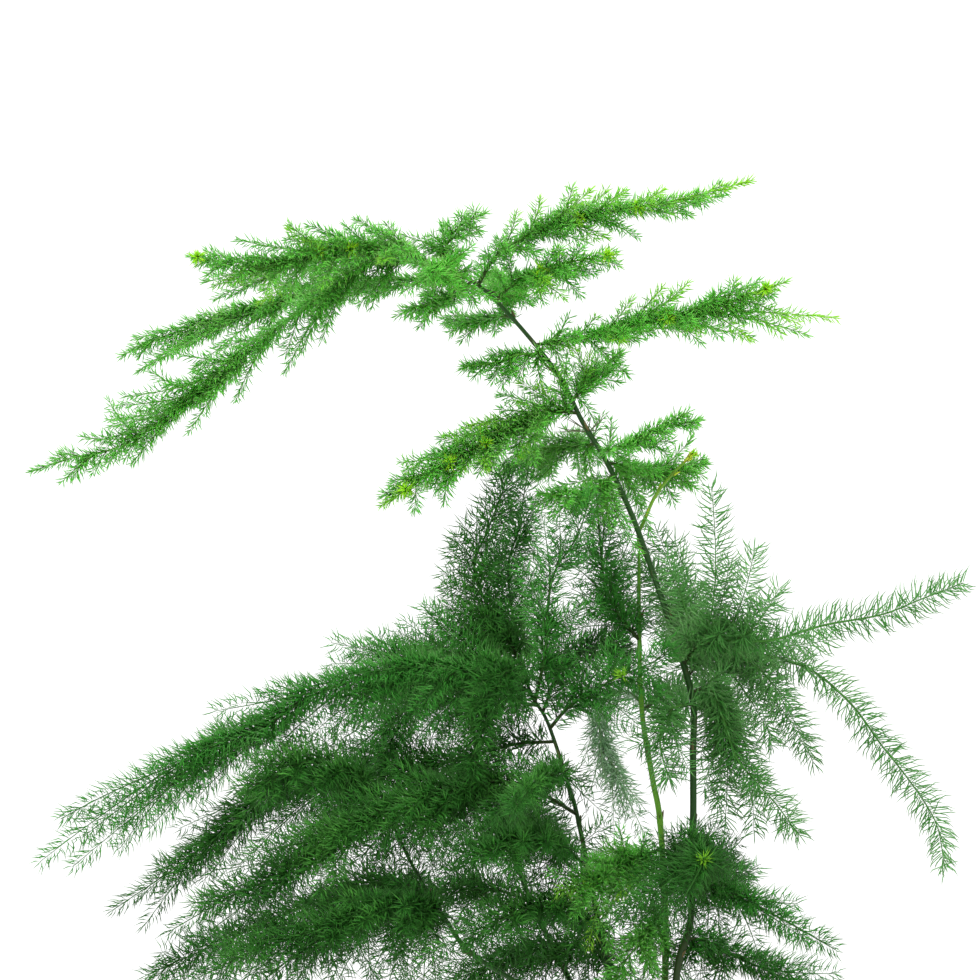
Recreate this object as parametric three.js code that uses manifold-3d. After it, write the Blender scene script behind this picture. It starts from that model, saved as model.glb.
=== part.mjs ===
// Potted asparagus fern: wiry stems in a clay pot, each with its feathery fronds.
// Millimetres, X to the right, Y to the back, Z up. The origin is the middle of the pot's foot.
import * as THREE from "three";
import { mergeVertices } from "three/addons/utils/BufferGeometryUtils.js";
import Module from "manifold-3d";

// Pot
const potHeight = 99;
const footRadius = 42;
const neckRadius = 55.5;
const neckHeight = 77;
const bandRadius = 60;
const bandStep = 2;
const bandFlare = 1;
const wall = 4.5;
const floorThickness = 6;
const lipRound = 1.2;
const potSegments = 24;
const drainRadius = 4.5;
const drainCircle = 22;
const drainCount = 4;
const drainSides = 8;

// Soil
const soilHeight = 90;
const soilDome = 2;
const soilLump = 0.7;
const lumpWaves = [0.35, 0.31];
const lumpStarts = [1, -0.6];
const soilRings = [[0.94, 0], [0.4, 0.85]];
const soilSegments = 24;
const soilFit = 0.5;
const rootDepth = 24;
const collarHeight = 7;
const holeSteps = 3;
const seat = 0.3;
const seatStep = 0.05;

// Stems
const stemSides = 6;
const stemStep = 19;
const stemThinning = [1, 0.84, 0.68];
const stemLap = 1.6;
const fewestSteps = 3;
const scaleLength = 3.2;
const scaleRadius = 0.5;
const budCount = 3;
const budFrom = 0.86;
const budStep = 0.034;
const budLength = 4.6;
const budSpread = 1.9;
const budRadius = 0.7;
const shootStraight = 6;

// Fronds
const axisRadius = 0.85;
const axisSides = 4;
const axisStep = 24;
const plumeRadius = 0.5;
const plumeSteps = 3;
const plumeKnee = 0.3;
const brushRadius = 0.42;
const brushBendsFrom = 8;
const brushKnee = 0.6;
const twigSides = 3;
const twigThinning = 0.25;
const steep = 0.8;
const brushAngle = 50;
const brushSpread = 18;
const brushDroop = 0.14;
const brushTaper = 0.6;
const brushShares = [0.85, 1.15];
const fanStart = 0.1;
const needleRadius = 0.16;
const needlePitch = 15;
const needleShares = [0.8, 1.1];
const needleAngle = 52;
const needleJitter = 30;
const bareBase = 4;
const bareTip = 0.3;
const goldenTurn = 137.5;
const clearGap = 0.32;
const turnStep = 26;
const turnTries = 9;
const needleLengths = { fresh: 5, dark: 7.4, thin: 7.4, pale: 6.4, lobe: 6 };

// Draws, and how finely places are looked for
const drawWaves = [12.9898, 78.233];
const drawHeight = 4375.5453;
const leanDraw = 50;
const lengthDraw = 100;
const needleDraw = 7;
const evenKnots = 0.5;
const weldGap = 1e-4;
const parallel = 1e-9;
const nearestSteps = 400;
const rimSteps = 12;

const colours = {
  clay: 0xb5643f,
  soil: 0x3b2a1e,
  stem: 0x28502a,
  shoot: 0xa6c52e,
  fresh: 0x4e9436,
  dark: 0x245428,
  thin: 0x4a7f48,
  pale: 0x83b187,
  lobe: 0x3f7f2a,
};

// A stem's route goes from where it leaves the soil to its tip.
const stemRoutes = [
  {
    name: "stem_arching",
    radius: 1.3,
    route: [
      [12, -8, 90], [14, -8, 126], [19, -7, 144], [20, -5, 180], [20, -4, 206], [20, -3, 226],
      [15, -1, 245], [6, 1, 272], [-3, 3, 297], [-13, 4, 318], [-22, 5, 333], [-32, 6, 352],
      [-52, 7, 376], [-65, 8, 387], [-80, 8, 392],
    ],
  },
  {
    name: "stem_upright",
    radius: 1.3,
    route: [
      [9, 14, 88], [10, 13, 120], [10, 12, 146], [8, 12, 180], [5, 12, 197], [1, 12, 223],
      [0, 12, 256], [0, 12, 284],
    ],
  },
  {
    name: "stem_forked",
    radius: 1.1,
    route: [
      [-10, 2, 89], [-12, 2, 125], [-16, 2, 143], [-23, 3, 179], [-27, 3, 194], [-35, 4, 218],
      [-41, 5, 228], [-44, 6, 238],
    ],
  },
  {
    name: "stem_leaning",
    radius: 1.0,
    route: [
      [-17, -14, 91], [-26, -15, 110], [-45, -16, 120], [-65, -17, 133], [-75, -18, 147],
      [-85, -18, 163], [-93, -18, 179], [-101, -18, 193],
    ],
  },
  {
    name: "stem_back",
    radius: 1.1,
    route: [
      [-13, 24, 87], [-25, 32, 115], [-41, 44, 147], [-53, 56, 178], [-62, 64, 207],
      [-67, 68, 228],
    ],
  },
  {
    name: "young_shoot",
    radius: 1.0,
    route: [
      [4, 12, 297], [13, 10, 310], [20, 8, 320],
    ],
  },
];

// A frond's fan is the number of its side brushes, the reach of the lowest, the roll of the fan
// about its main twig, how far up it goes, and the turn from one brush to the next. The axis is
// the main twig. A plume is its share of the way up the main twig, and its own tip.
const frondRoutes = [
  {
    name: "frond_leader",
    stem: "stem_arching",
    kind: "fresh",
    fan: [7, 19, 25, 0.9, 180],
    axis: [
      [-80, 8, 392], [-89, 9, 394], [-105, 10, 392], [-117, 11, 383], [-142, 14, 366],
      [-156, 16, 353], [-172, 18, 340], [-198, 22, 324], [-217, 24, 319], [-233, 26, 314],
    ],
    plumes: [[0.52, -196, 4, 342], [0.64, -205, 40, 334]],
  },
  {
    name: "frond_upper_left",
    stem: "stem_arching",
    kind: "fresh",
    fan: [7, 23, 12, 0.9, 180],
    axis: [
      [-76, 8, 391], [-86, 0, 396], [-99, -4, 398], [-116, -11, 397], [-134, -18, 393],
      [-153, -24, 392], [-169, -30, 394],
    ],
    plumes: [[0.14, -96, -14, 407], [0.3, -111, -22, 406], [0.48, -132, -28, 406],
             [0.55, -161, -6, 379], [0.35, -144, -2, 378]],
  },
  {
    name: "frond_left_mid",
    stem: "stem_arching",
    kind: "fresh",
    fan: [6, 17, -20, 0.9, 180],
    axis: [
      [-69, 8, 389], [-82, 19, 388], [-101, 26, 387], [-119, 33, 385], [-135, 39, 381],
      [-156, 45, 375], [-173, 50, 370], [-188, 54, 365], [-201, 58, 359],
    ],
    plumes: [[0.5, -189, 40, 355]],
  },
  {
    name: "frond_crest",
    stem: "stem_arching",
    kind: "fresh",
    fan: [4, 15, 40, 0.9, 180],
    axis: [
      [-72, 8, 390], [-74, 1, 398], [-69, -6, 406], [-59, -14, 411],
    ],
    plumes: [[0.2, -89, -4, 403]],
  },
  {
    name: "frond_top_right",
    stem: "stem_arching",
    kind: "fresh",
    fan: [6, 15, -15, 0.9, 180],
    axis: [
      [-62, 8, 384], [-55, 3, 395], [-43, 0, 403], [-30, -4, 408], [-15, -8, 411],
      [3, -12, 414], [22, -16, 418], [41, -20, 423],
    ],
    plumes: [[0.25, -38, -16, 416], [0.36, -26, -24, 420], [0.3, -20, 10, 401],
             [0.5, -1, 6, 403], [0.48, -7, -24, 419], [0.62, 19, -2, 411]],
  },
  {
    name: "frond_right_short",
    stem: "stem_arching",
    kind: "fresh",
    fan: [4, 20, 15, 0.9, 180],
    axis: [
      [-55, 7, 379], [-46, 2, 387], [-36, -6, 391], [-25, -14, 393], [-10, -22, 395],
    ],
    plumes: [[0.2, -29, -18, 379]],
  },
  {
    name: "frond_under_left",
    stem: "stem_arching",
    kind: "fresh",
    fan: [3, 15, -20, 0.9, 180],
    axis: [
      [-64, 8, 386], [-70, 0, 381], [-78, -8, 378], [-88, -18, 374],
    ],
    plumes: [],
  },
  {
    name: "frond_under_low",
    stem: "stem_arching",
    kind: "fresh",
    fan: [3, 13, 15, 0.9, 180],
    axis: [
      [-49, 7, 373], [-57, 16, 373], [-65, 25, 372], [-74, 34, 371],
    ],
    plumes: [[0.3, -68, 24, 364]],
  },
  {
    name: "frond_right_mid",
    stem: "stem_arching",
    kind: "fresh",
    fan: [6, 17, 15, 0.9, 180],
    axis: [
      [-40, 6, 362], [-24, 0, 364], [-13, -6, 366], [-2, -12, 369], [12, -18, 372],
      [25, -26, 375], [38, -34, 379], [53, -42, 384],
    ],
    plumes: [[0.38, 17, -30, 384], [0.58, 72, -30, 371], [0.52, 23, -8, 362],
             [0.25, 1, 6, 364]],
  },
  {
    name: "frond_left_short",
    stem: "stem_arching",
    kind: "fresh",
    fan: [3, 12, 20, 0.9, 180],
    axis: [
      [-37, 6, 358], [-46, -2, 358], [-54, -8, 355], [-67, -16, 353],
    ],
    plumes: [],
  },
  {
    name: "frond_mid_left",
    stem: "stem_arching",
    kind: "fresh",
    fan: [7, 21, 30, 0.9, 180],
    axis: [
      [-23, 5, 336], [-36, 0, 336], [-51, -8, 328], [-65, -16, 321], [-80, -24, 312],
      [-97, -32, 301],
    ],
    plumes: [[0.55, -90, -42, 317], [0.2, -65, -22, 331]],
  },
  {
    name: "frond_mid_up",
    stem: "stem_arching",
    kind: "fresh",
    fan: [3, 14, 0, 0.9, 180],
    axis: [
      [-26, 5, 341], [-19, 10, 348], [-8, 18, 359],
    ],
    plumes: [],
  },
  {
    name: "frond_low_right",
    stem: "stem_arching",
    kind: "fresh",
    fan: [3, 13, 10, 0.9, 180],
    axis: [
      [-15, 4, 321], [-8, 0, 323], [2, -6, 328], [12, -10, 331], [22, -14, 333],
    ],
    plumes: [],
  },
  {
    name: "frond_low_right_back",
    stem: "stem_arching",
    kind: "fresh",
    fan: [4, 17, 10, 0.9, 180],
    axis: [
      [-13, 4, 317], [0, 13, 314], [12, 20, 314], [26, 28, 317],
    ],
    plumes: [[0.45, 20, 14, 326]],
  },
  {
    name: "frond_low_left",
    stem: "stem_arching",
    kind: "fresh",
    fan: [4, 19, -10, 0.9, 180],
    axis: [
      [-17, 4, 324], [-26, 16, 323], [-38, 28, 320], [-50, 40, 315],
    ],
    plumes: [],
  },
  {
    name: "frond_low_left_front",
    stem: "stem_arching",
    kind: "fresh",
    fan: [3, 17, 20, 0.9, 180],
    axis: [
      [-10, 4, 312], [-18, -4, 307], [-27, -12, 306], [-35, -20, 304],
    ],
    plumes: [],
  },
  {
    name: "frond_crown_back",
    stem: "stem_arching",
    kind: "fresh",
    fan: [5, 19, 5, 0.9, 180],
    axis: [
      [-59, 8, 382], [-49, 24, 381], [-51, 44, 386], [-55, 64, 389], [-59, 84, 391],
    ],
    plumes: [],
  },
  {
    name: "frond_crown_front",
    stem: "stem_arching",
    kind: "fresh",
    fan: [4, 17, 5, 0.9, 180],
    axis: [
      [-67, 8, 387], [-74, -14, 389], [-76, -34, 389], [-80, -56, 387],
    ],
    plumes: [],
  },
  {
    name: "frond_centre_left",
    stem: "stem_forked",
    kind: "dark",
    fan: [6, 20, 15, 0.9, 180],
    axis: [
      [-44, 6, 238], [-50, 1, 250], [-59, -2, 265], [-63, -5, 278], [-58, -8, 291],
      [-53, -10, 304], [-49, -12, 315],
    ],
    plumes: [],
  },
  {
    name: "frond_centre_upright",
    stem: "stem_forked",
    kind: "dark",
    fan: [6, 18, -25, 0.9, 180],
    axis: [
      [-43, 6, 233], [-46, 14, 247], [-49, 17, 264], [-50, 18, 278], [-46, 20, 293],
      [-42, 22, 317],
    ],
    plumes: [],
  },
  {
    name: "frond_centre_curved",
    stem: "stem_forked",
    kind: "dark",
    fan: [4, 15, 20, 0.9, 180],
    axis: [
      [-40, 5, 226], [-36, -9, 246], [-35, -14, 265], [-32, -16, 277], [-26, -18, 286],
      [-22, -20, 295], [-19, -22, 306],
    ],
    plumes: [],
  },
  {
    name: "frond_centre_right",
    stem: "stem_upright",
    kind: "dark",
    fan: [5, 18, 10, 0.9, 180],
    axis: [
      [0, 12, 249], [-7, 8, 258], [-13, 6, 270], [-15, 5, 286], [-17, 4, 311],
    ],
    plumes: [],
  },
  {
    name: "frond_fork_right",
    stem: "stem_forked",
    kind: "dark",
    fan: [5, 22, 60, 0.9, 180],
    axis: [
      [-34, 4, 216], [-26, 0, 225], [-10, -8, 235], [3, -14, 241], [12, -18, 246],
    ],
    plumes: [[0.3, -1, -22, 218]],
  },
  {
    name: "frond_fork_band",
    stem: "stem_forked",
    kind: "dark",
    fan: [4, 22, 20, 0.9, 180],
    axis: [
      [-37, 4, 222], [-30, 18, 237], [-15, 24, 248], [-2, 30, 244],
    ],
    plumes: [],
  },
  {
    name: "frond_centre_drop",
    stem: "stem_forked",
    kind: "dark",
    fan: [5, 19, 25, 0.9, 180],
    axis: [
      [-43, 6, 236], [-51, -12, 238], [-56, -20, 231], [-59, -20, 227], [-63, -24, 213],
      [-61, -28, 196],
    ],
    plumes: [],
  },
  {
    name: "frond_left_long",
    stem: "stem_forked",
    kind: "dark",
    fan: [8, 24, 55, 0.7, 180],
    axis: [
      [-41, 5, 230], [-50, -3, 233], [-68, -8, 239], [-85, -12, 240], [-101, -16, 237],
      [-124, -20, 229], [-140, -24, 219], [-156, -27, 213], [-172, -30, 205], [-189, -33, 198],
      [-204, -36, 191], [-217, -38, 184],
    ],
    plumes: [[0.6, -226, -22, 167], [0.45, -215, -8, 164]],
  },
  {
    name: "frond_left_inner",
    stem: "stem_forked",
    kind: "dark",
    fan: [6, 24, 50, 0.9, 180],
    axis: [
      [-39, 5, 224], [-49, 15, 226], [-61, 18, 229], [-80, 20, 229], [-91, 26, 217],
      [-101, 30, 199], [-115, 34, 184], [-134, 38, 172],
    ],
    plumes: [],
  },
  {
    name: "frond_left_lobe",
    stem: "stem_forked",
    kind: "dark",
    fan: [9, 27, 30, 0.9, 180],
    axis: [
      [-24, 3, 183], [-38, -10, 192], [-53, -16, 197], [-68, -22, 195], [-87, -28, 190],
      [-107, -34, 182], [-123, -40, 171], [-139, -44, 162], [-155, -48, 155], [-176, -52, 143],
    ],
    plumes: [],
  },
  {
    name: "frond_left_second",
    stem: "stem_forked",
    kind: "dark",
    fan: [7, 25, 40, 0.9, 180],
    axis: [
      [-32, 4, 211], [-49, 15, 209], [-69, 22, 203], [-88, 26, 199], [-111, 28, 195],
      [-136, 30, 192], [-159, 34, 176], [-175, 36, 163], [-203, 38, 144],
    ],
    plumes: [[0.6, -190, 24, 139]],
  },
  {
    name: "frond_low_front",
    stem: "stem_leaning",
    kind: "dark",
    fan: [6, 22, 30, 0.9, 180],
    axis: [
      [-75, -18, 147], [-81, -26, 151], [-98, -36, 152], [-116, -44, 145], [-144, -52, 136],
      [-166, -58, 126],
    ],
    plumes: [],
  },
  {
    name: "frond_low_third",
    stem: "stem_leaning",
    kind: "dark",
    fan: [6, 22, 30, 0.9, 180],
    axis: [
      [-81, -18, 157], [-93, 0, 157], [-114, 12, 153], [-138, 20, 143], [-159, 26, 133],
      [-175, 30, 126], [-190, 34, 119],
    ],
    plumes: [],
  },
  {
    name: "frond_leaning_tip",
    stem: "stem_leaning",
    kind: "dark",
    fan: [5, 21, 40, 0.9, 180],
    axis: [
      [-101, -18, 193], [-110, -20, 201], [-123, -26, 205], [-135, -34, 201], [-148, -42, 194],
    ],
    plumes: [],
  },
  {
    name: "frond_centre_front",
    stem: "stem_forked",
    kind: "dark",
    fan: [5, 24, 20, 0.9, 180],
    axis: [
      [-20, 3, 163], [-31, -18, 173], [-42, -34, 177], [-53, -50, 175], [-64, -64, 171],
    ],
    plumes: [],
  },
  {
    name: "frond_bottom_front",
    stem: "stem_forked",
    kind: "dark",
    fan: [4, 21, 20, 0.9, 180],
    axis: [
      [-16, 2, 141], [-26, -18, 150], [-40, -36, 152], [-53, -50, 147], [-70, -60, 139],
    ],
    plumes: [],
  },
  {
    name: "frond_bottom_mid",
    stem: "stem_forked",
    kind: "dark",
    fan: [4, 21, 10, 0.9, 180],
    axis: [
      [-13, 2, 130], [-24, 14, 132], [-38, 22, 130], [-53, 28, 125], [-72, 32, 117],
    ],
    plumes: [],
  },
  {
    name: "frond_lobe",
    stem: "stem_upright",
    kind: "lobe",
    fan: [4, 17, 20, 0.9, 180],
    axis: [
      [8, 12, 169], [0, 2, 167], [-10, -12, 164], [-19, -24, 159], [-26, -32, 156],
    ],
    plumes: [],
  },
  {
    name: "frond_lobe_low",
    stem: "stem_upright",
    kind: "lobe",
    fan: [3, 15, 30, 0.9, 180],
    axis: [
      [10, 12, 148], [4, -2, 141], [-1, -12, 135], [-7, -20, 128], [-11, -26, 121],
    ],
    plumes: [],
  },
  {
    name: "frond_cluster",
    stem: "stem_arching",
    kind: "dark",
    fan: [6, 19, 0, 0.9, 137.5],
    axis: [
      [20, -6, 168], [21, -22, 171], [22, -40, 172], [22, -58, 169],
    ],
    plumes: [],
  },
  {
    name: "frond_cluster_right",
    stem: "stem_arching",
    kind: "dark",
    fan: [4, 18, 30, 0.9, 180],
    axis: [
      [19, -7, 153], [28, -14, 156], [39, -20, 152], [54, -28, 145], [72, -36, 135],
    ],
    plumes: [[0.35, 58, -34, 152], [0.45, 62, -12, 137]],
  },
  {
    name: "frond_cluster_low",
    stem: "stem_arching",
    kind: "dark",
    fan: [4, 18, 20, 0.9, 180],
    axis: [
      [18, -7, 137], [25, 2, 135], [38, 8, 128], [54, 16, 120], [67, 24, 110],
    ],
    plumes: [],
  },
  {
    name: "frond_cluster_back",
    stem: "stem_arching",
    kind: "dark",
    fan: [4, 21, 10, 0.9, 180],
    axis: [
      [20, -6, 161], [26, 18, 165], [30, 38, 163], [34, 58, 156], [37, 78, 147],
    ],
    plumes: [],
  },
  {
    name: "frond_right_long",
    stem: "stem_arching",
    kind: "thin",
    fan: [4, 17, 40, 0.4, 180],
    axis: [
      [17, -2, 241], [22, -10, 248], [32, -14, 250], [48, -22, 250], [68, -30, 256],
      [89, -34, 260], [104, -38, 266], [119, -42, 272],
    ],
    plumes: [[0.12, 26, -26, 308], [0.2, 42, -30, 285], [0.3, 51, -34, 270]],
  },
  {
    name: "frond_right_droop",
    stem: "stem_arching",
    kind: "thin",
    fan: [4, 19, 50, 0.4, 180],
    axis: [
      [18, -2, 236], [24, 8, 241], [33, 13, 245], [50, 17, 243], [67, 19, 237], [82, 20, 224],
      [93, 20, 209], [104, 20, 195], [114, 18, 179], [117, 14, 162],
    ],
    plumes: [[0.2, 68, 30, 201], [0.12, 51, 2, 211]],
  },
  {
    name: "frond_right_down",
    stem: "stem_arching",
    kind: "thin",
    fan: [5, 17, 20, 0.9, 180],
    axis: [
      [19, -3, 230], [26, -2, 231], [31, -3, 221], [36, -4, 206], [42, -5, 198], [51, -6, 188],
      [60, -8, 176],
    ],
    plumes: [[0.15, 44, 14, 175]],
  },
  {
    name: "frond_inner_down",
    stem: "stem_arching",
    kind: "thin",
    fan: [4, 15, 20, 0.9, 180],
    axis: [
      [20, -3, 225], [14, -13, 225], [9, -16, 222], [7, -20, 211], [10, -24, 198],
    ],
    plumes: [],
  },
  {
    name: "frond_pale",
    stem: "stem_upright",
    kind: "pale",
    fan: [4, 13, 40, 0.9, 180],
    axis: [
      [1, 12, 226], [-6, 34, 229], [-13, 47, 223], [-14, 55, 211], [-9, 60, 198],
      [-4, 62, 179],
    ],
    plumes: [],
  },
  {
    name: "frond_back_right",
    stem: "stem_upright",
    kind: "thin",
    fan: [6, 22, 10, 0.9, 180],
    axis: [
      [1, 12, 222], [13, 32, 229], [25, 52, 228], [34, 74, 222], [42, 94, 211],
    ],
    plumes: [],
  },
  {
    name: "frond_back_left",
    stem: "stem_back",
    kind: "dark",
    fan: [5, 22, 10, 0.9, 180],
    axis: [
      [-67, 68, 228], [-72, 78, 236], [-80, 90, 237], [-91, 102, 232], [-101, 112, 226],
    ],
    plumes: [],
  },
  {
    name: "frond_back_low",
    stem: "stem_back",
    kind: "dark",
    fan: [5, 22, 10, 0.9, 180],
    axis: [
      [-41, 44, 147], [-55, 62, 150], [-71, 80, 149], [-89, 94, 145], [-109, 106, 137],
    ],
    plumes: [],
  },
  {
    name: "frond_back_centre",
    stem: "stem_back",
    kind: "dark",
    fan: [5, 22, 10, 0.9, 180],
    axis: [
      [-53, 56, 178], [-49, 74, 180], [-40, 90, 176], [-31, 104, 167],
    ],
    plumes: [],
  },
  {
    name: "frond_front_mid",
    stem: "stem_forked",
    kind: "dark",
    fan: [4, 20, 10, 0.9, 137.5],
    axis: [
      [-29, 3, 202], [-32, -18, 200], [-38, -42, 199], [-44, -64, 195], [-49, -84, 189],
    ],
    plumes: [],
  },
];

const wasm = await Module();
wasm.setup();
const up = new THREE.Vector3(0, 0, 1);
const towardsFront = new THREE.Vector3(0, -1, 0);
const rad = THREE.MathUtils.degToRad;

// A number from 0 to 1 that is always the same for the same two seeds.
function draw(seed, index) {
  const wave = Math.sin(seed * drawWaves[0] + index * drawWaves[1]) * drawHeight;
  return wave - Math.floor(wave);
}

function drawBetween([low, high], seed, index) {
  return THREE.MathUtils.lerp(low, high, draw(seed, index));
}

function vector(numbers) {
  return new THREE.Vector3(...numbers);
}

// The curve through some points, as Catmull and Rom give it with even knots.
function through(points) {
  return new THREE.CatmullRomCurve3(points, false, "catmullrom", evenKnots);
}

function toSolid(geometry) {
  const bare = geometry.index ? geometry.toNonIndexed() : geometry.clone();
  bare.deleteAttribute("normal");
  bare.deleteAttribute("uv");
  const merged = mergeVertices(bare, weldGap);
  return new wasm.Manifold(new wasm.Mesh({
    numProp: 3,
    vertProperties: new Float32Array(merged.attributes.position.array),
    triVerts: new Uint32Array(merged.index.array),
  }));
}

function toGeometry(solid) {
  const mesh = solid.getMesh();
  const geometry = new THREE.BufferGeometry();
  geometry.setAttribute("position", new THREE.BufferAttribute(mesh.vertProperties, 3));
  geometry.setIndex(new THREE.BufferAttribute(mesh.triVerts, 1));
  geometry.computeVertexNormals();
  return geometry;
}

function fused(solids) {
  return solids.reduce((whole, next) => whole.add(next));
}

function material(colour, roughness) {
  return new THREE.MeshStandardMaterial({ color: colour, roughness, metalness: 0 });
}

function named(name, solid, colour, roughness) {
  const mesh = new THREE.Mesh(toGeometry(solid), material(colour, roughness));
  mesh.name = name;
  return mesh;
}

// A ring of points turned round the Z axis, with the profile given as [radius, height].
function turned(profile, segments) {
  const lathe = new THREE.LatheGeometry(profile.map(([r, z]) => new THREE.Vector2(r, z)), segments);
  return lathe.rotateX(Math.PI / 2);
}

// A round section carried along the curve through some points.
function tube(points, radius, sides) {
  const corners = [];
  for (let i = 0; i < sides; i += 1) {
    const angle = (i / sides) * 2 * Math.PI;
    corners.push(new THREE.Vector2(radius * Math.cos(angle), radius * Math.sin(angle)));
  }
  const steps = points.length - 1;
  return new THREE.ExtrudeGeometry(new THREE.Shape(corners), { steps, extrudePath: through(points) });
}

// A twig: its middle line, and at each point the two directions that span its cross-section.
function twig(points, radius, sides, guide) {
  const last = points.length - 1;
  let normal = guide;
  const frames = points.map((point, i) => {
    const ahead = points[Math.min(i + 1, last)];
    const behind = points[Math.max(i - 1, 0)];
    const tangent = ahead.clone().sub(behind).normalize();
    normal = normal.clone().addScaledVector(tangent, -normal.dot(tangent)).normalize();
    return { normal, side: tangent.clone().cross(normal) };
  });
  return { points, radius, sides, frames };
}

function guideAcross(way) {
  return Math.abs(way.z) < steep ? up : towardsFront;
}

function plainTwig(points, radius) {
  return twig(points, radius, twigSides, guideAcross(points[1].clone().sub(points[0]).normalize()));
}

// A cone bent along a twig, from its flat root, hardly thinner at each ring, to its tip.
function spike({ points, radius, sides, frames }) {
  const rings = points.length - 1;
  const cone = new THREE.ConeGeometry(radius, 1, sides, rings, false, Math.PI / sides);
  const position = cone.attributes.position;
  for (let i = 0; i < position.count; i += 1) {
    const ring = Math.round((position.getY(i) + 0.5) * rings);
    const share = ring / rings;
    const wide = ring < rings ? (1 - twigThinning * share) / (1 - share) : 0;
    const place = points[ring].clone()
      .addScaledVector(frames[ring].side, position.getX(i) * wide)
      .addScaledVector(frames[ring].normal, position.getZ(i) * wide);
    position.setXYZ(i, place.x, place.y, place.z);
  }
  return cone;
}

// The shortest way between two straight stretches.
function wayBetween(a, b, c, d) {
  const u = b.clone().sub(a);
  const v = d.clone().sub(c);
  const w = a.clone().sub(c);
  const uu = u.dot(u);
  const vv = v.dot(v);
  const uv = u.dot(v);
  const uw = u.dot(w);
  const vw = v.dot(w);
  const spread = uu * vv - uv * uv;
  const clamp = THREE.MathUtils.clamp;
  let s = spread > parallel ? clamp((uv * vw - vv * uw) / spread, 0, 1) : 0;
  const t = clamp((uv * s + vw) / vv, 0, 1);
  s = clamp((uv * t - uw) / uu, 0, 1);
  return w.addScaledVector(u, s).addScaledVector(v, -t).length();
}

// What is placed so far, as straight stretches with a radius.
const placed = [];

function stretches(owner, points, radius) {
  return points.slice(1).map((point, i) => ({ owner, a: points[i], b: point, radius }));
}

function nearOthers(stretch, bearer = "") {
  const middle = stretch.a.clone().add(stretch.b).multiplyScalar(0.5);
  const half = stretch.a.distanceTo(stretch.b) / 2;
  return placed.find((other) => {
    if (other.owner === stretch.owner || other.owner === bearer) {
      return false;
    }
    const room = stretch.radius + other.radius + clearGap;
    const otherHalf = other.a.distanceTo(other.b) / 2;
    const apart = other.a.clone().add(other.b).multiplyScalar(0.5).distanceTo(middle);
    if (apart > half + otherHalf + room) {
      return false;
    }
    return wayBetween(stretch.a, stretch.b, other.a, other.b) < room;
  });
}

function isClear(list) {
  return !list.some((stretch) => nearOthers(stretch));
}

// A route given by hand has to run clear of the others, but for the seat on its own stem.
function placeRoute(list, bearer) {
  list.forEach((stretch, index) => {
    const other = nearOthers(stretch, index === 0 ? bearer : "");
    if (other) {
      throw new Error(`${stretch.owner} meets ${other.owner}`);
    }
  });
  placed.push(...list);
}

// The young shoot goes on from the end of the upright stem, at the seat gap.
function shootCurve(stem) {
  const bearer = stemRoutes.find((one) => one.name === "stem_upright");
  const foot = vector(bearer.route[bearer.route.length - 1]).addScaledVector(up, seat);
  const straight = foot.clone().addScaledVector(up, shootStraight);
  return through([foot, straight, ...stem.route.map(vector)]);
}

// Stems: each stands straight in the soil and for a little above it, and thins at its joints.
function stemCurve(stem) {
  if (stem.name === "young_shoot") {
    return shootCurve(stem);
  }
  const [foot, ...rest] = stem.route.map(vector);
  const root = foot.clone().addScaledVector(up, -rootDepth);
  const collar = foot.clone().addScaledVector(up, collarHeight);
  return through([root, foot, collar, ...rest]);
}

// The points of one of a stem's lengths between joints, from a little below its lower joint.
function stemPoints(curve, part) {
  const length = curve.getLength();
  const from = part > 0 ? part / stemThinning.length - stemLap / length : 0;
  const to = (part + 1) / stemThinning.length;
  const steps = Math.max(fewestSteps, Math.round(((to - from) * length) / stemStep));
  const points = [];
  for (let i = 0; i <= steps; i += 1) {
    points.push(curve.getPointAt(THREE.MathUtils.lerp(from, to, i / steps)));
  }
  return points;
}

function stemSolid(stem, curve) {
  const count = stemThinning.length;
  const solids = [];
  stemThinning.forEach((thinning, i) => {
    const points = stemPoints(curve, i);
    solids.push(toSolid(tube(points, stem.radius * thinning, stemSides)));
    placed.push(...stretches(stem.name, points, stem.radius * thinning));
    if (i > 0) {
      const joint = curve.getPointAt(i / count);
      const along = curve.getTangentAt(i / count);
      const out = along.clone().cross(i % 2 ? up : towardsFront).normalize();
      const tip = joint.clone().addScaledVector(along, scaleLength)
        .addScaledVector(out, stem.radius + scaleRadius);
      solids.push(toSolid(spike(plainTwig([joint, tip], scaleRadius))));
    }
  });
  return fused(solids);
}

// The bud of the young shoot: scales that overlap round its tip.
function budScales(curve) {
  const scales = [];
  for (let i = 0; i < budCount; i += 1) {
    const root = curve.getPointAt(budFrom + budStep * i);
    const along = curve.getTangentAt(1);
    const out = along.clone().cross(up).normalize().applyAxisAngle(along, rad(goldenTurn * i));
    const tip = root.clone().addScaledVector(along, budLength).addScaledVector(out, budSpread);
    scales.push(toSolid(spike(plainTwig([root, tip], budRadius))));
  }
  return scales;
}

// The place on a stem that is nearest to a point.
function nearestOn(curve, point) {
  let best = 0;
  let least = Infinity;
  for (let i = 0; i <= nearestSteps; i += 1) {
    const share = i / nearestSteps;
    const gap = curve.getPointAt(share).distanceTo(point);
    if (gap < least) {
      least = gap;
      best = share;
    }
  }
  return best;
}

// How near the rim of a twig's flat root comes to a stem.
function rootGap(owner, centre, way, radius) {
  const across = way.clone().cross(guideAcross(way)).setLength(radius);
  let least = Infinity;
  for (let i = 0; i < rimSteps; i += 1) {
    const corner = across.clone().applyAxisAngle(way, (i / rimSteps) * 2 * Math.PI).add(centre);
    placed.filter((other) => other.owner === owner).forEach(({ a, b, radius: thick }) => {
      const foot = new THREE.Line3(a, b).closestPointToPoint(corner, true, new THREE.Vector3());
      least = Math.min(least, foot.distanceTo(corner) - thick);
    });
  }
  return least;
}

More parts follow.
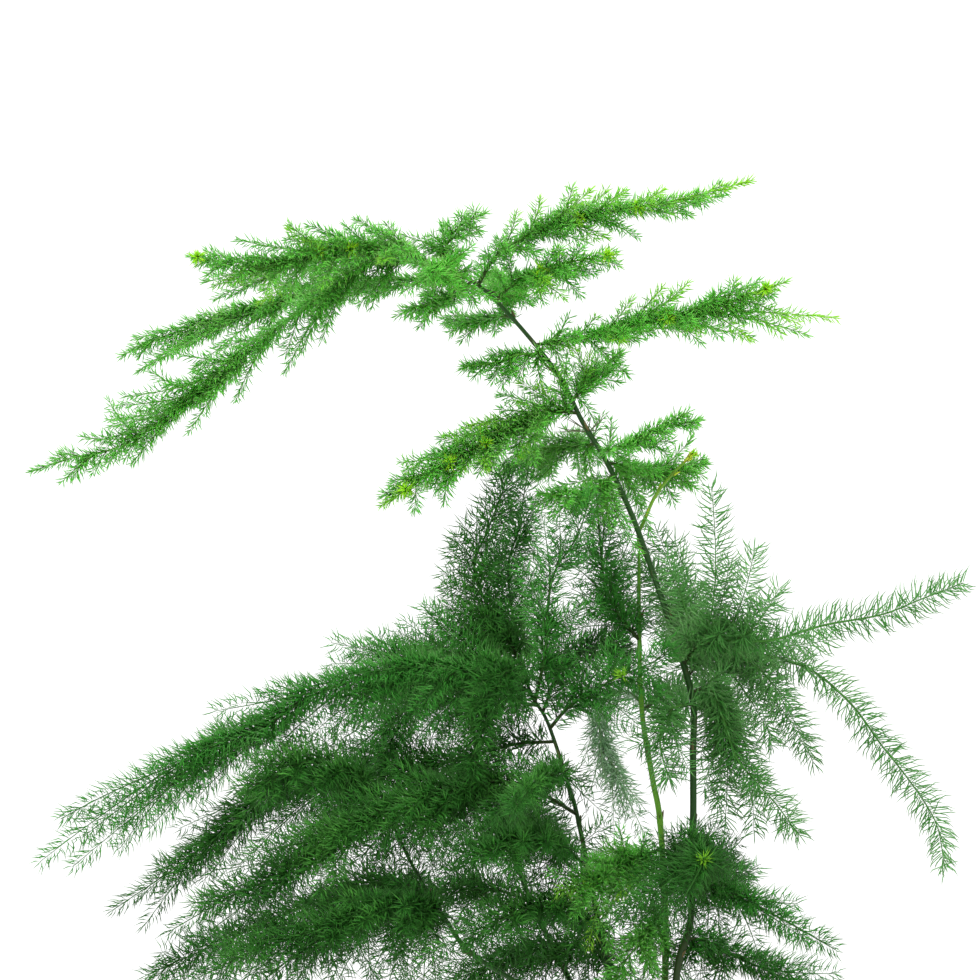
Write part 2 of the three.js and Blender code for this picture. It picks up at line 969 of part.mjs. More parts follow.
// A frond's main twig starts where its stem is nearest to its first point, held off by the seat gap.
function axisCurve(frond, stems) {
  const stem = stems.find((one) => one.name === frond.stem);
  const [start, ...route] = frond.axis.map(vector);
  const root = stem.curve.getPointAt(nearestOn(stem.curve, start));
  const way = route[0].clone().sub(root).normalize();
  while (rootGap(stem.name, root, way, axisRadius) < seat) {
    root.addScaledVector(way, seatStep);
  }
  return through([root, ...route]);
}

// Directions at a place on a twig: along it, and the two that span its cross-section.
function frameAt(curve, t, guide) {
  const along = curve.getTangent(t);
  const side = along.clone().cross(guide).normalize();
  return { along, side, rise: side.clone().cross(along) };
}

function guideFor(frond) {
  const way = vector(frond.axis[frond.axis.length - 1]).sub(vector(frond.axis[0])).normalize();
  return guideAcross(way);
}

// The place at a share of a twig, on the straight stretches that its solid has.
function chordPoint(points, t) {
  const place = t * (points.length - 1);
  const index = Math.min(Math.floor(place), points.length - 2);
  return points[index].clone().lerp(points[index + 1], place - index);
}

// Side brush: it leaves the main twig in the plane of the fan, leans forward and droops to its tip.
function brushPoints({ curve, axisTwig, guide, fan, seed }, index, turn) {
  const [sides, reach, roll, until, step] = fan;
  const u = sides > 1 ? index / (sides - 1) : 0;
  const t = fanStart + (until - fanStart) * u;
  const { along, side, rise } = frameAt(curve, t, guide);
  const point = chordPoint(axisTwig.points, t);
  const angle = rad(roll + step * index + (draw(seed, index) - 0.5) * brushSpread * 2 + turn);
  const lean = rad(brushAngle + (draw(seed, index + leanDraw) - 0.5) * brushSpread);
  const length = reach * (1 - brushTaper * u) * drawBetween(brushShares, seed, index + lengthDraw);
  const way = along.multiplyScalar(Math.cos(lean))
    .addScaledVector(side, Math.sin(lean) * Math.cos(angle))
    .addScaledVector(rise, Math.sin(lean) * Math.sin(angle));
  const tip = point.clone().addScaledVector(way, length).addScaledVector(up, -brushDroop * length);
  if (length < brushBendsFrom) {
    return [point, tip];
  }
  return [point, point.clone().addScaledVector(way, length * brushKnee), tip];
}

// Plume: a long brush that leaves the main twig along it and bends over to a tip of its own.
function plumePoints({ curve, axisTwig }, plume) {
  const [t, ...tip] = plume;
  const point = chordPoint(axisTwig.points, t);
  const end = vector(tip);
  const knee = point.clone().addScaledVector(curve.getTangent(t), plumeKnee * end.distanceTo(point));
  return new THREE.QuadraticBezierCurve3(point, knee, end).getPoints(plumeSteps);
}

function lengthOf(points) {
  return points.slice(1).reduce((sum, point, i) => sum + point.distanceTo(points[i]), 0);
}

function stretchAt(points, distance) {
  let left = distance;
  for (let i = 1; i < points.length; i += 1) {
    const span = points[i].distanceTo(points[i - 1]);
    if (left <= span || i === points.length - 1) {
      const along = points[i].clone().sub(points[i - 1]).normalize();
      return { index: i - 1, along, point: points[i - 1].clone().addScaledVector(along, left) };
    }
    left -= span;
  }
  return null;
}

// Places a needle on the middle of a twig's face, and on the next face where another frond is near.
function needle(frond, bearer, distance, number) {
  const { index, point, along } = stretchAt(bearer.points, distance);
  const { normal, side } = bearer.frames[index];
  const lean = rad(needleAngle);
  const length = needleLengths[frond.kind] * drawBetween(needleShares, number, needleDraw);
  for (let attempt = 0; attempt < bearer.sides * 2; attempt += 1) {
    const jitter = (draw(number + frond.seed, attempt) - 0.5) * needleJitter;
    const angle = rad((360 / bearer.sides) * (number + attempt) + jitter);
    const out = normal.clone().multiplyScalar(Math.cos(angle)).addScaledVector(side, Math.sin(angle));
    const way = along.clone().multiplyScalar(Math.cos(lean)).addScaledVector(out, Math.sin(lean));
    const points = [point, point.clone().addScaledVector(way, length)];
    const list = stretches(frond.name, points, needleRadius);
    if (isClear(list)) {
      placed.push(...list);
      return plainTwig(points, needleRadius);
    }
  }
  return null;
}

function growTwigs(frond) {
  const twigs = frond.plumes.map((plume) => plainTwig(plumePoints(frond, plume), plumeRadius));
  for (let i = 0; i < frond.fan[0]; i += 1) {
    for (let attempt = 0; attempt < turnTries; attempt += 1) {
      const turn = Math.ceil(attempt / 2) * turnStep * (attempt % 2 ? 1 : -1);
      const points = brushPoints(frond, i, turn);
      const list = stretches(frond.name, points, brushRadius);
      if (isClear(list)) {
        placed.push(...list);
        twigs.push(plainTwig(points, brushRadius));
        break;
      }
    }
  }
  return twigs;
}

function growNeedles(frond, twigs) {
  const needles = [];
  let number = 0;
  twigs.forEach((bearer) => {
    const length = lengthOf(bearer.points);
    const reach = length - bareBase - bareTip * lengthOf(bearer.points.slice(-2));
    const count = Math.max(1, Math.round(reach / needlePitch));
    for (let i = 0; i < count; i += 1) {
      number += 1;
      needles.push(needle(frond, bearer, bareBase + (reach * (i + 0.5)) / count, number));
    }
  });
  return needles.filter((one) => one !== null);
}

function pot() {
  const inside = neckRadius - wall;
  const profile = [
    [0, 0],
    [footRadius - lipRound, 0],
    [footRadius, lipRound],
    [neckRadius, neckHeight],
    [bandRadius, neckHeight + bandStep],
    [bandRadius + bandFlare, potHeight - lipRound],
    [bandRadius + bandFlare - lipRound, potHeight],
    [bandRadius - wall, potHeight],
    [inside, neckHeight],
    [footRadius - wall, floorThickness],
    [0, floorThickness],
  ];
  let body = toSolid(turned(profile, potSegments));
  for (let i = 0; i < drainCount; i += 1) {
    const angle = ((i + 0.5) / drainCount) * 2 * Math.PI;
    const hole = new THREE.CylinderGeometry(drainRadius, drainRadius, floorThickness * 3, drainSides);
    hole.rotateX(Math.PI / 2);
    hole.translate(drainCircle * Math.cos(angle), drainCircle * Math.sin(angle), floorThickness / 2);
    body = body.subtract(toSolid(hole));
  }
  return body;
}

// The soil fills the pot to just under its lip, with a low lumpy dome.
function soil(stems) {
  const bottom = floorThickness + soilFit;
  const rise = (soilHeight - neckHeight) / (potHeight - neckHeight);
  const edge = THREE.MathUtils.lerp(neckRadius - wall, bandRadius - wall, rise) - soilFit;
  const profile = [
    [0, bottom],
    [footRadius - wall - soilFit, bottom],
    [neckRadius - wall - soilFit, neckHeight],
    [edge, soilHeight - soilDome],
    ...soilRings.map(([out, high]) => [edge * out, soilHeight + soilDome * high]),
    [0, soilHeight + soilDome],
  ];
  const ground = turned(profile, soilSegments);
  const position = ground.attributes.position;
  for (let i = 0; i < position.count; i += 1) {
    const z = position.getZ(i);
    if (z >= soilHeight) {
      const wave = Math.sin(position.getX(i) * lumpWaves[0] + lumpStarts[0])
        * Math.cos(position.getY(i) * lumpWaves[1] + lumpStarts[1]);
      position.setZ(i, z + soilLump * wave);
    }
  }
  let body = toSolid(ground);
  stems.filter((stem) => stem.name !== "young_shoot").forEach((stem) => {
    const points = stemPoints(stem.curve, 0).slice(0, holeSteps + 1);
    points[0].addScaledVector(up, -seat);
    body = body.subtract(toSolid(tube(points, stem.radius + seat * 2, stemSides)));
  });
  return body;
}

const group = new THREE.Group();
const stems = stemRoutes.map((stem) => ({ ...stem, curve: stemCurve(stem) }));

group.add(named("pot", pot(), colours.clay, 0.85));
group.add(named("soil", soil(stems), colours.soil, 0.95));
stems.forEach((stem) => {
  const isShoot = stem.name === "young_shoot";
  const parts = [stemSolid(stem, stem.curve), ...(isShoot ? budScales(stem.curve) : [])];
  group.add(named(stem.name, fused(parts), isShoot ? colours.shoot : colours.stem, 0.5));
});

const fronds = frondRoutes.map((frond, i) => {
  const curve = axisCurve(frond, stems);
  const steps = Math.max(fewestSteps, Math.round(curve.getLength() / axisStep));
  const points = curve.getPoints(steps);
  const list = stretches(frond.name, points, axisRadius);
  placeRoute(list, frond.stem);
  const guide = guideFor(frond);
  const { side, rise } = frameAt(curve, 0, guide);
  const roll = rad(frond.fan[2]);
  const normal = rise.multiplyScalar(Math.cos(roll)).addScaledVector(side, -Math.sin(roll));
  return { ...frond, curve, guide, axisTwig: twig(points, axisRadius, axisSides, normal), seed: i + 1 };
});
fronds.forEach((frond) => {
  frond.plumes.forEach((plume) => {
    placeRoute(stretches(frond.name, plumePoints(frond, plume), plumeRadius), "");
  });
});
fronds.forEach((frond) => {
  frond.twigs = [frond.axisTwig, ...growTwigs(frond)];
});
fronds.forEach((frond) => {
  const all = [...frond.twigs, ...growNeedles(frond, frond.twigs)];
  group.add(named(frond.name, fused(all.map((one) => toSolid(spike(one)))), colours[frond.kind], 0.6));
});

export default group;
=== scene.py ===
"""Potted asparagus fern: a clay pot of soil, wiry stems, a young shoot and feathery needle sprays."""

import bpy
import numpy as np
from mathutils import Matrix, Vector


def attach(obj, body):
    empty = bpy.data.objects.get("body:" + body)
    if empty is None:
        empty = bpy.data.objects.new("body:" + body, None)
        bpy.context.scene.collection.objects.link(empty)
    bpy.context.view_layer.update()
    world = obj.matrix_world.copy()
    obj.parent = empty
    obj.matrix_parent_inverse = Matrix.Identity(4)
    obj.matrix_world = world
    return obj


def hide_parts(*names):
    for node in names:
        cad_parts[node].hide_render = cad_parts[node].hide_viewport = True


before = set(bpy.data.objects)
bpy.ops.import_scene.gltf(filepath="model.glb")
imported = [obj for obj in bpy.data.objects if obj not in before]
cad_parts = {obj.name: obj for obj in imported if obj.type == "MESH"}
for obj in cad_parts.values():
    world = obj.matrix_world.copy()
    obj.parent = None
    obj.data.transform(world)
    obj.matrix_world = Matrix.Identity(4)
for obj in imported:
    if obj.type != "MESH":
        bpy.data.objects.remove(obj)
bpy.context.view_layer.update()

bl_info = {
    "name": "Potted asparagus fern",
    "version": (1, 0, 0),
    "blender": (4, 5, 0),
    "location": "3D View > Sidebar > Fern",
    "description": "Clay pot, soil, wiry stems, a young shoot and feathery needle sprays",
    "category": "Add Mesh",
}

# Metres are millimetres times this. Only the panel's sizes and the lights' places are given in metres.
MM = 0.001
# X is to the right, Y to the back and Z up from the pot's foot.
UP = np.array([0.0, 0.0, 1.0])
FRONT = np.array([0.0, -1.0, 0.0])
# Points on a curve whose length is measured.
FINE_STEPS = 801
# From one needle or scale leaf to the next, in degrees.
GOLDEN_TURN = 137.5
# The photo's frame: its points across, millimetres to a point, and where the camera stands.
PICTURE_SIDE, POINT, CAMERA_PLACE = 980, 0.38, (-57.0, -2000.0, 306.6)
# How high the pot's inner floor stands.
POT_FLOOR = 6
# Where the arching stem bears long, old, loose needles.
LONG_NEEDLES_AT = (-18.0, 4.0, 329.0)


def stem(name, radius, *route):
    """A stem's name, its radius and the points of its route."""
    return {"name": name, "radius": radius, "route": route}


def frond(name, bearer, kind, fan, axis, plumes, until=0.9, turn=180, young=0.0, shade=0.0, tufts=()):
    """A frond and the stem that bears it. Its fan is the number of its side brushes, the reach of the lowest
    and the roll of the fan about the main twig. The fan goes up until a share of the main twig, with a turn
    in degrees from one brush to the next. The axis is the main twig. A plume is the share of the main twig
    where it begins, and its own tip. A share of the plumes end young, shade is painted shade: how much deeper
    in tone the needles are than their kind's, and tufts are where on the main twig bright young tufts face
    the front."""
    return {"name": name, "stem": bearer, "kind": kind, "fan": fan, "axis": axis, "plumes": plumes,
            "until": until, "turn": turn, "young": young, "shade": shade, "tufts": tufts}


# The routes of the stems and fronds


STEMS = [
    stem("arching", 1.3, (12, -8, 90), (14, -8, 126), (19, -7, 144), (20, -5, 180), (20, -4, 206),
         (20, -3, 226), (15, -1, 245), (6, 1, 272), (-3, 3, 297), (-13, 4, 318), (-22, 5, 333),
         (-32, 6, 352), (-52, 7, 376), (-65, 8, 387), (-80, 8, 392)),
    stem("upright", 1.3, (9, 14, 88), (10, 13, 120), (10, 12, 146), (8, 12, 180), (5, 12, 197), (1, 12, 223),
         (0, 12, 256), (0, 12, 284)),
    stem("forked", 1.1, (-10, 2, 89), (-12, 2, 125), (-16, 2, 143), (-23, 3, 179), (-27, 3, 194),
         (-35, 4, 218), (-41, 5, 228), (-44, 6, 238)),
    stem("leaning", 1.0, (-17, -14, 91), (-26, -15, 110), (-45, -16, 120), (-65, -17, 133), (-75, -18, 147),
         (-85, -18, 163), (-93, -18, 179), (-101, -18, 193)),
    stem("back", 1.1, (-13, 24, 87), (-25, 32, 115), (-41, 44, 147), (-53, 56, 178), (-62, 64, 207),
         (-67, 68, 228)),
]
UPRIGHT_STEM = STEMS[1]
# The young shoot goes on from the end of the upright stem.
SHOOT_ROUTE = [(2, 12, 295), (6, 11, 304), (12, 10, 312), (20, 8, 320)]

FRONDS = [
    frond("leader", "arching", "fresh", (7, 19, 25),
          [(-80, 8, 392), (-89, 9, 394), (-105, 10, 392), (-117, 11, 383), (-142, 14, 366), (-156, 16, 353),
           (-172, 18, 340), (-198, 22, 324), (-217, 24, 319), (-233, 26, 314)],
          [(0.52, -196, 4, 342), (0.64, -205, 40, 334), (0.14, -109, 2, 379), (0.2, -121, 4, 364),
           (0.25, -135, 2, 371), (0.3, -135, 8, 352), (0.34, -152, 6, 360), (0.42, -154, 12, 341),
           (0.46, -169, 8, 352), (0.52, -172, 14, 329), (0.6, -192, 34, 337), (0.68, -194, 18, 317),
           (0.74, -214, 30, 327), (0.82, -221, 20, 310), (0.5, -177, 10, 359), (0.55, -182, 26, 347),
           (0.6, -198, 12, 339), (0.66, -202, 14, 331), (0.7, -207, 26, 326), (0.62, -187, 14, 352),
           (0.74, -204, 30, 341), (0.3, -129, 4, 359), (0.12, -102, 10, 377)],
          shade=0.1),
    frond("upper_left", "arching", "fresh", (7, 23, 12),
          [(-76, 8, 391), (-86, 0, 396), (-99, -4, 398), (-116, -11, 397), (-134, -18, 393),
           (-153, -24, 392), (-169, -30, 394)],
          [(0.14, -96, -14, 407), (0.3, -111, -22, 406), (0.48, -132, -28, 406), (0.55, -161, -6, 379),
           (0.35, -144, -2, 378), (0.22, -126, -24, 400), (0.28, -129, -6, 383), (0.42, -148, -14, 384),
           (0.5, -151, -34, 400), (0.2, -118, -4, 385), (0.62, -164, -18, 385), (0.45, -155, -10, 380),
           (0.55, -160, -30, 383), (0.5, -133, -14, 405), (0.62, -155, -22, 386)],
          young=0.35, tufts=(0.44, 0.55, 0.97)),
    frond("left_mid", "arching", "fresh", (6, 17, -20),
          [(-69, 8, 389), (-82, 19, 388), (-101, 26, 387), (-119, 33, 385), (-135, 39, 381), (-156, 45, 375),
           (-173, 50, 370), (-188, 54, 365), (-201, 58, 359)],
          [(0.5, -189, 40, 355), (0.35, -150, 40, 372), (0.3, -145, 34, 384), (0.48, -173, 44, 363),
           (0.62, -196, 60, 366), (0.2, -122, 22, 377), (0.55, -185, 46, 359), (0.45, -172, 38, 353),
           (0.6, -194, 54, 353), (0.5, -145, 40, 362)],
          shade=0.1),
    frond("crest", "arching", "fresh", (3, 13, 40),
          [(-72, 8, 390), (-74, 1, 398), (-69, -6, 406), (-59, -14, 411)],
          [(0.2, -89, -4, 403), (0.3, -79, -4, 403), (0.2, -82, 2, 399)]),
    frond("top_right", "arching", "fresh", (6, 15, -15),
          [(-62, 8, 384), (-55, 3, 395), (-43, 0, 403), (-30, -4, 408), (-15, -8, 411), (3, -12, 414),
           (22, -16, 418), (41, -20, 423)],
          [(0.25, -38, -16, 416), (0.36, -26, -24, 420), (0.3, -20, 10, 401), (0.5, -1, 6, 403),
           (0.48, -7, -24, 419), (0.62, 19, -2, 411), (0.42, -17, 2, 402), (0.3, -19, -26, 419),
           (0.72, 31, -4, 418), (0.6, 8, -28, 419), (0.15, -47, -12, 411), (0.4, -13, -14, 402),
           (0.45, -13, -8, 420), (0.5, -6, -10, 419)],
          young=0.75, tufts=(0.5, 0.68)),
    frond("right_short", "arching", "fresh", (4, 20, 15),
          [(-55, 7, 379), (-46, 2, 387), (-36, -6, 391), (-25, -14, 393), (-10, -22, 395)],
          [(0.2, -29, -18, 379), (0.15, -38, 2, 382), (0.3, -37, -10, 378)],
          young=0.6, tufts=(0.45, 0.95)),
    frond("under_left", "arching", "fresh", (3, 15, -20),
          [(-64, 8, 386), (-70, 0, 381), (-78, -8, 378), (-88, -18, 374)],
          []),
    frond("under_low", "arching", "fresh", (3, 13, 15),
          [(-49, 7, 373), (-57, 16, 373), (-65, 25, 372), (-74, 34, 371)],
          [(0.3, -68, 24, 364)]),
    frond("right_mid", "arching", "fresh", (6, 17, 15),
          [(-40, 6, 362), (-24, 0, 364), (-13, -6, 366), (-2, -12, 369), (12, -18, 372), (25, -26, 375),
           (38, -34, 379), (53, -42, 384)],
          [(0.38, 17, -30, 384), (0.58, 72, -30, 371), (0.52, 23, -8, 362), (0.25, 1, 6, 364),
           (0.45, 42, -18, 364), (0.32, 21, -2, 367), (0.22, -4, -18, 378), (0.62, 62, -22, 365),
           (0.5, 43, -44, 384), (0.03, -28, 0, 350), (0.04, -27, 4, 373), (0.1, -17, -6, 372),
           (0.3, 8, -20, 383), (0.34, 14, -12, 381), (0.6, 29, -30, 364), (0.66, 40, -32, 363),
           (0.74, 52, -34, 365), (0.8, 57, -36, 369), (0.56, 22, -24, 366), (0.04, -25, -4, 360)],
          young=0.5, tufts=(0.55, 0.93)),
    frond("left_short", "arching", "fresh", (3, 12, 20),
          [(-37, 6, 358), (-46, -2, 358), (-54, -8, 355), (-67, -16, 353)],
          [(0.02, -26, 4, 346), (0.04, -30, 2, 367), (0.02, -36, 8, 342)]),
    frond("mid_left", "arching", "fresh", (7, 21, 30),
          [(-23, 5, 336), (-36, 0, 336), (-51, -8, 328), (-65, -16, 321), (-80, -24, 312), (-97, -32, 301)],
          [(0.55, -90, -42, 317), (0.2, -65, -22, 331), (0.12, -46, -12, 340), (0.3, -73, -30, 327),
           (0.4, -76, -14, 308), (0.1, -40, -2, 326), (0.62, -94, -22, 308), (0.25, -62, -4, 316),
           (0.02, -31, -2, 351), (0.05, -38, -6, 346), (0.16, -53, -10, 337), (0.01, -28, -2, 357)],
          young=0.45, shade=0.1, tufts=(0.51, 0.7, 0.9)),
    frond("mid_up", "arching", "fresh", (3, 14, 0),
          [(-26, 5, 341), (-19, 10, 348), (-8, 18, 359)],
          [(0.12, -19, 4, 358), (0.02, -35, 6, 345), (0.04, -17, 10, 333), (0.3, -15, 22, 360),
           (0.1, -26, 4, 354), (0.3, -25, 6, 362)],
          young=0.3),
    frond("low_right", "arching", "fresh", (3, 13, 10),
          [(-15, 4, 321), (-8, 0, 323), (2, -6, 328), (12, -10, 331), (22, -14, 333)],
          [(0.25, 12, -2, 325), (0.4, 18, -16, 336), (0.04, -11, 2, 333), (0.06, -3, 0, 316)]),
    frond("low_right_back", "arching", "fresh", (4, 17, 10),
          [(-13, 4, 317), (0, 13, 314), (12, 20, 314), (26, 28, 317)],
          [(0.45, 20, 14, 326), (0.2, 8, 22, 306), (0.3, 18, 26, 309), (0.05, -5, 8, 303),
           (0.08, 0, 14, 300), (0.05, -2, 10, 323), (0.02, 5, 10, 288)]),
    frond("low_left", "arching", "fresh", (4, 19, -10),
          [(-17, 4, 324), (-26, 16, 323), (-38, 28, 320), (-50, 40, 315)],
          [(0.2, -38, 22, 311), (0.3, -47, 34, 323), (0.03, -14, 8, 335), (0.06, -21, 12, 310),
           (0.12, -28, 18, 330), (0.05, -17, 8, 307)]),
    frond("low_left_front", "arching", "fresh", (3, 17, 20),
          [(-10, 4, 312), (-18, -4, 307), (-27, -12, 306), (-35, -20, 304)],
          [(0.12, -14, -4, 295), (0.3, -25, -14, 297), (0.03, -5, -4, 294), (0.06, -11, -8, 292),
           (0.02, 0, -6, 282)]),
    frond("crown_back", "arching", "fresh", (4, 14, 5),
          [(-59, 8, 382), (-49, 24, 381), (-51, 44, 386), (-55, 64, 389), (-59, 84, 391)],
          [(0.3, -38, 46, 391), (0.5, -62, 66, 396), (0.6, -41, 60, 380), (0.2, -53, 30, 373)],
          shade=0.35),
    frond("crown_front", "arching", "fresh", (4, 12, 5),
          [(-67, 8, 387), (-74, -14, 389), (-76, -34, 389), (-80, -56, 387)],
          [(0.3, -55, -12, 378), (0.4, -89, -40, 392), (0.5, -64, -44, 397), (0.6, -89, -50, 380),
           (0.7, -66, -54, 378), (0.2, -77, -22, 392)],
          shade=0.45),
    frond("centre_left", "forked", "dark", (6, 20, 15),
          [(-44, 6, 238), (-50, 1, 250), (-59, -2, 265), (-63, -5, 278), (-58, -8, 291), (-53, -10, 304),
           (-49, -12, 315)],
          [(0.12, -65, -8, 260), (0.2, -74, -6, 269), (0.25, -46, -12, 278), (0.4, -71, -10, 289),
           (0.06, -71, -6, 250), (0.1, -81, -4, 254), (0.1, -74, -6, 255), (0.16, -76, -8, 263),
           (0.24, -74, -10, 271), (0.32, -71, -10, 278), (0.14, -70, -14, 250), (0.2, -70, -12, 261),
           (0.08, -79, -8, 249), (0.12, -80, -8, 258)]),
    frond("centre_upright", "forked", "mesh", (6, 18, -25),
          [(-43, 6, 233), (-46, 14, 247), (-49, 17, 264), (-50, 18, 278), (-46, 20, 293), (-42, 22, 317)],
          [(0.15, -36, 12, 265), (0.25, -38, 14, 280), (0.1, -53, 26, 280), (0.45, -39, 18, 303),
           (0.7, -40, 24, 303), (0.6, -39, 20, 295)]),
    frond("centre_curved", "forked", "mesh", (4, 15, 20),
          [(-40, 5, 226), (-36, -9, 246), (-35, -14, 265), (-32, -16, 277), (-26, -18, 286), (-22, -20, 295),
           (-19, -22, 306)],
          [(0.5, -31, -24, 295), (0.12, -42, -16, 269), (0.2, -46, -20, 280), (0.35, -37, -22, 295),
           (0.2, -15, -14, 263), (0.1, -21, -10, 250), (0.25, -27, -12, 261), (0.2, -29, -10, 254)]),
    frond("centre_right", "upright", "mesh", (5, 18, 10),
          [(0, 12, 249), (-7, 8, 258), (-13, 6, 270), (-15, 5, 286), (-17, 4, 311)],
          [(0.2, -4, 10, 280), (0.4, -7, 10, 303), (0.12, 4, 28, 276), (0.28, 1, 26, 295),
           (0.05, 5, 30, 262), (0.6, -10, 8, 312), (0.2, -26, 2, 269), (0.3, -28, 2, 281),
           (0.1, -23, 8, 254)]),
    frond("fork_right", "forked", "mesh", (5, 22, 60),
          [(-34, 4, 216), (-26, 0, 225), (-10, -8, 235), (3, -14, 241), (12, -18, 246)],
          [(0.3, -1, -22, 218), (0.12, -19, -8, 242), (0.2, -8, -14, 250), (0.5, 8, -20, 228),
           (0.3, -27, -8, 241), (0.4, 4, -12, 245)],
          tufts=(0.55,)),
    frond("fork_band", "forked", "dark", (4, 22, 20),
          [(-37, 4, 222), (-30, 18, 237), (-15, 24, 248), (-2, 30, 244)],
          [(0.25, -24, 30, 260), (0.3, -30, 12, 253), (0.5, -7, 30, 229), (0.7, 9, 36, 260)]),
    frond("centre_drop", "forked", "dark", (5, 19, 25),
          [(-43, 6, 236), (-51, -12, 238), (-56, -20, 231), (-59, -20, 227), (-63, -24, 213),
           (-61, -28, 196)],
          []),
    frond("left_long", "forked", "mesh", (8, 24, 55),
          [(-41, 5, 230), (-50, -3, 233), (-68, -8, 239), (-85, -12, 240), (-101, -16, 237),
           (-124, -20, 229), (-140, -24, 219), (-156, -27, 213), (-172, -30, 205), (-189, -33, 198),
           (-204, -36, 191), (-217, -38, 184)],
          [(0.6, -226, -22, 167), (0.45, -215, -8, 164), (0.06, -77, -2, 260), (0.12, -92, -4, 253),
           (0.2, -109, -10, 245), (0.16, -92, -8, 225), (0.26, -117, -14, 216), (0.36, -143, -22, 204),
           (0.34, -143, -22, 230), (0.46, -178, -26, 186), (0.55, -196, -28, 181), (0.66, -209, -34, 177),
           (0.5, -184, -40, 205), (0.02, -65, -6, 254), (0.05, -83, -10, 263), (0.09, -89, -12, 257),
           (0.13, -102, -6, 248), (0.22, -117, -30, 236), (0.5, -167, -30, 191), (0.4, -160, -34, 224),
           (0.56, -184, -40, 180), (0.62, -196, -26, 172), (0.1, -91, 4, 213), (0.15, -102, 0, 209),
           (0.04, -53, -6, 216), (0.03, -46, -8, 221), (0.03, -77, -4, 259), (0.06, -73, -6, 265),
           (0.1, -117, -14, 249), (0.16, -120, -18, 225), (0.12, -111, -18, 228), (0.14, -109, -12, 221),
           (0.2, -117, -16, 216), (0.24, -126, -20, 213), (0.12, -109, -14, 246), (0.16, -117, -16, 241),
           (0.05, -80, -8, 250), (0.04, -80, -6, 263)],
          until=0.7),
    frond("left_inner", "forked", "mesh", (6, 24, 50),
          [(-39, 5, 224), (-49, 15, 226), (-61, 18, 229), (-80, 20, 229), (-91, 26, 217), (-101, 30, 199),
           (-115, 34, 184), (-134, 38, 172)],
          [(0.2, -75, 24, 210), (0.35, -98, 30, 219), (0.45, -119, 24, 199), (0.6, -122, 44, 167),
           (0.3, -84, 26, 199), (0.15, -65, 8, 215), (0.3, -111, 36, 216), (0.4, -115, 20, 210),
           (0.55, -145, 34, 177), (0.25, -90, 34, 225), (0.2, -76, 20, 203), (0.25, -92, 22, 203),
           (0.35, -109, 34, 206), (0.05, -47, 8, 217), (0.08, -53, 12, 220)]),
    frond("left_lobe", "forked", "dark", (9, 27, 30),
          [(-24, 3, 183), (-38, -10, 192), (-53, -16, 197), (-68, -22, 195), (-87, -28, 190),
           (-107, -34, 182), (-123, -40, 171), (-139, -44, 162), (-155, -48, 155), (-176, -52, 143)],
          [(0.3, -83, -30, 176), (0.4, -106, -34, 168), (0.5, -131, -46, 178), (0.6, -150, -44, 144),
           (0.5, -120, -40, 157), (0.2, -71, -16, 175), (0.24, -83, -24, 166), (0.3, -101, -22, 164),
           (0.36, -91, -32, 201), (0.46, -121, -40, 191), (0.56, -146, -54, 173), (0.6, -160, -42, 165),
           (0.64, -168, -50, 138), (0.1, -53, -10, 178), (0.12, -61, -22, 171), (0.15, -46, -22, 205),
           (0.18, -65, -12, 178), (0.2, -80, -16, 180), (0.28, -91, -18, 171), (0.42, -109, -38, 193),
           (0.5, -127, -50, 162), (0.2, -68, -8, 172), (0.26, -77, -14, 168), (0.3, -87, -20, 168),
           (0.34, -97, -26, 171), (0.24, -74, -18, 163), (0.32, -91, -28, 160), (0.28, -82, -10, 174),
           (0.38, -106, -34, 168), (0.44, -117, -40, 175), (0.54, -142, -46, 168), (0.6, -162, -50, 155),
           (0.5, -129, -36, 179), (0.5, -135, -44, 177), (0.56, -146, -50, 172), (0.26, -80, -12, 164)]),
    frond("left_second", "forked", "dark", (7, 25, 40),
          [(-32, 4, 211), (-49, 15, 209), (-69, 22, 203), (-88, 26, 199), (-111, 28, 195), (-136, 30, 192),
           (-159, 34, 176), (-175, 36, 163), (-203, 38, 144)],
          [(0.6, -190, 24, 139), (0.35, -118, 20, 210), (0.45, -149, 26, 199), (0.5, -145, 34, 171),
           (0.6, -177, 30, 176), (0.4, -119, 36, 179), (0.2, -84, 20, 188), (0.3, -115, 36, 187),
           (0.48, -155, 26, 160), (0.56, -166, 44, 157), (0.62, -184, 30, 148), (0.25, -103, 36, 208),
           (0.03, -44, 6, 220), (0.05, -47, 8, 199), (0.08, -53, 12, 219), (0.12, -61, 14, 188),
           (0.2, -80, 24, 176), (0.3, -96, 30, 177), (0.5, -157, 40, 190), (0.6, -177, 34, 167),
           (0.3, -84, 26, 168), (0.36, -96, 30, 165), (0.62, -178, 30, 155), (0.7, -192, 30, 150)]),
    frond("low_front", "leaning", "dark", (6, 22, 30),
          [(-75, -18, 147), (-81, -26, 151), (-98, -36, 152), (-116, -44, 145), (-144, -52, 136),
           (-166, -58, 126)],
          [(0.15, -94, -36, 135), (0.3, -116, -44, 129), (0.5, -141, -50, 123), (0.45, -141, -54, 144),
           (0.05, -80, -20, 130), (0.08, -87, -30, 125), (0.2, -101, -44, 126), (0.1, -91, -40, 161),
           (0.25, -113, -52, 155), (0.35, -128, -40, 126), (0.6, -157, -60, 138), (0.04, -72, -34, 131),
           (0.3, -116, -44, 119), (0.12, -91, -36, 116), (0.4, -131, -48, 121), (0.06, -77, -26, 119),
           (0.5, -149, -56, 118), (0.12, -96, -40, 136), (0.1, -101, -34, 139), (0.5, -146, -50, 121),
           (0.42, -135, -44, 116), (0.14, -97, -38, 116), (0.08, -82, -30, 114), (0.1, -98, -34, 129),
           (0.58, -151, -56, 124)]),
    frond("low_third", "leaning", "dark", (6, 22, 30),
          [(-81, -18, 157), (-93, 0, 157), (-114, 12, 153), (-138, 20, 143), (-159, 26, 133),
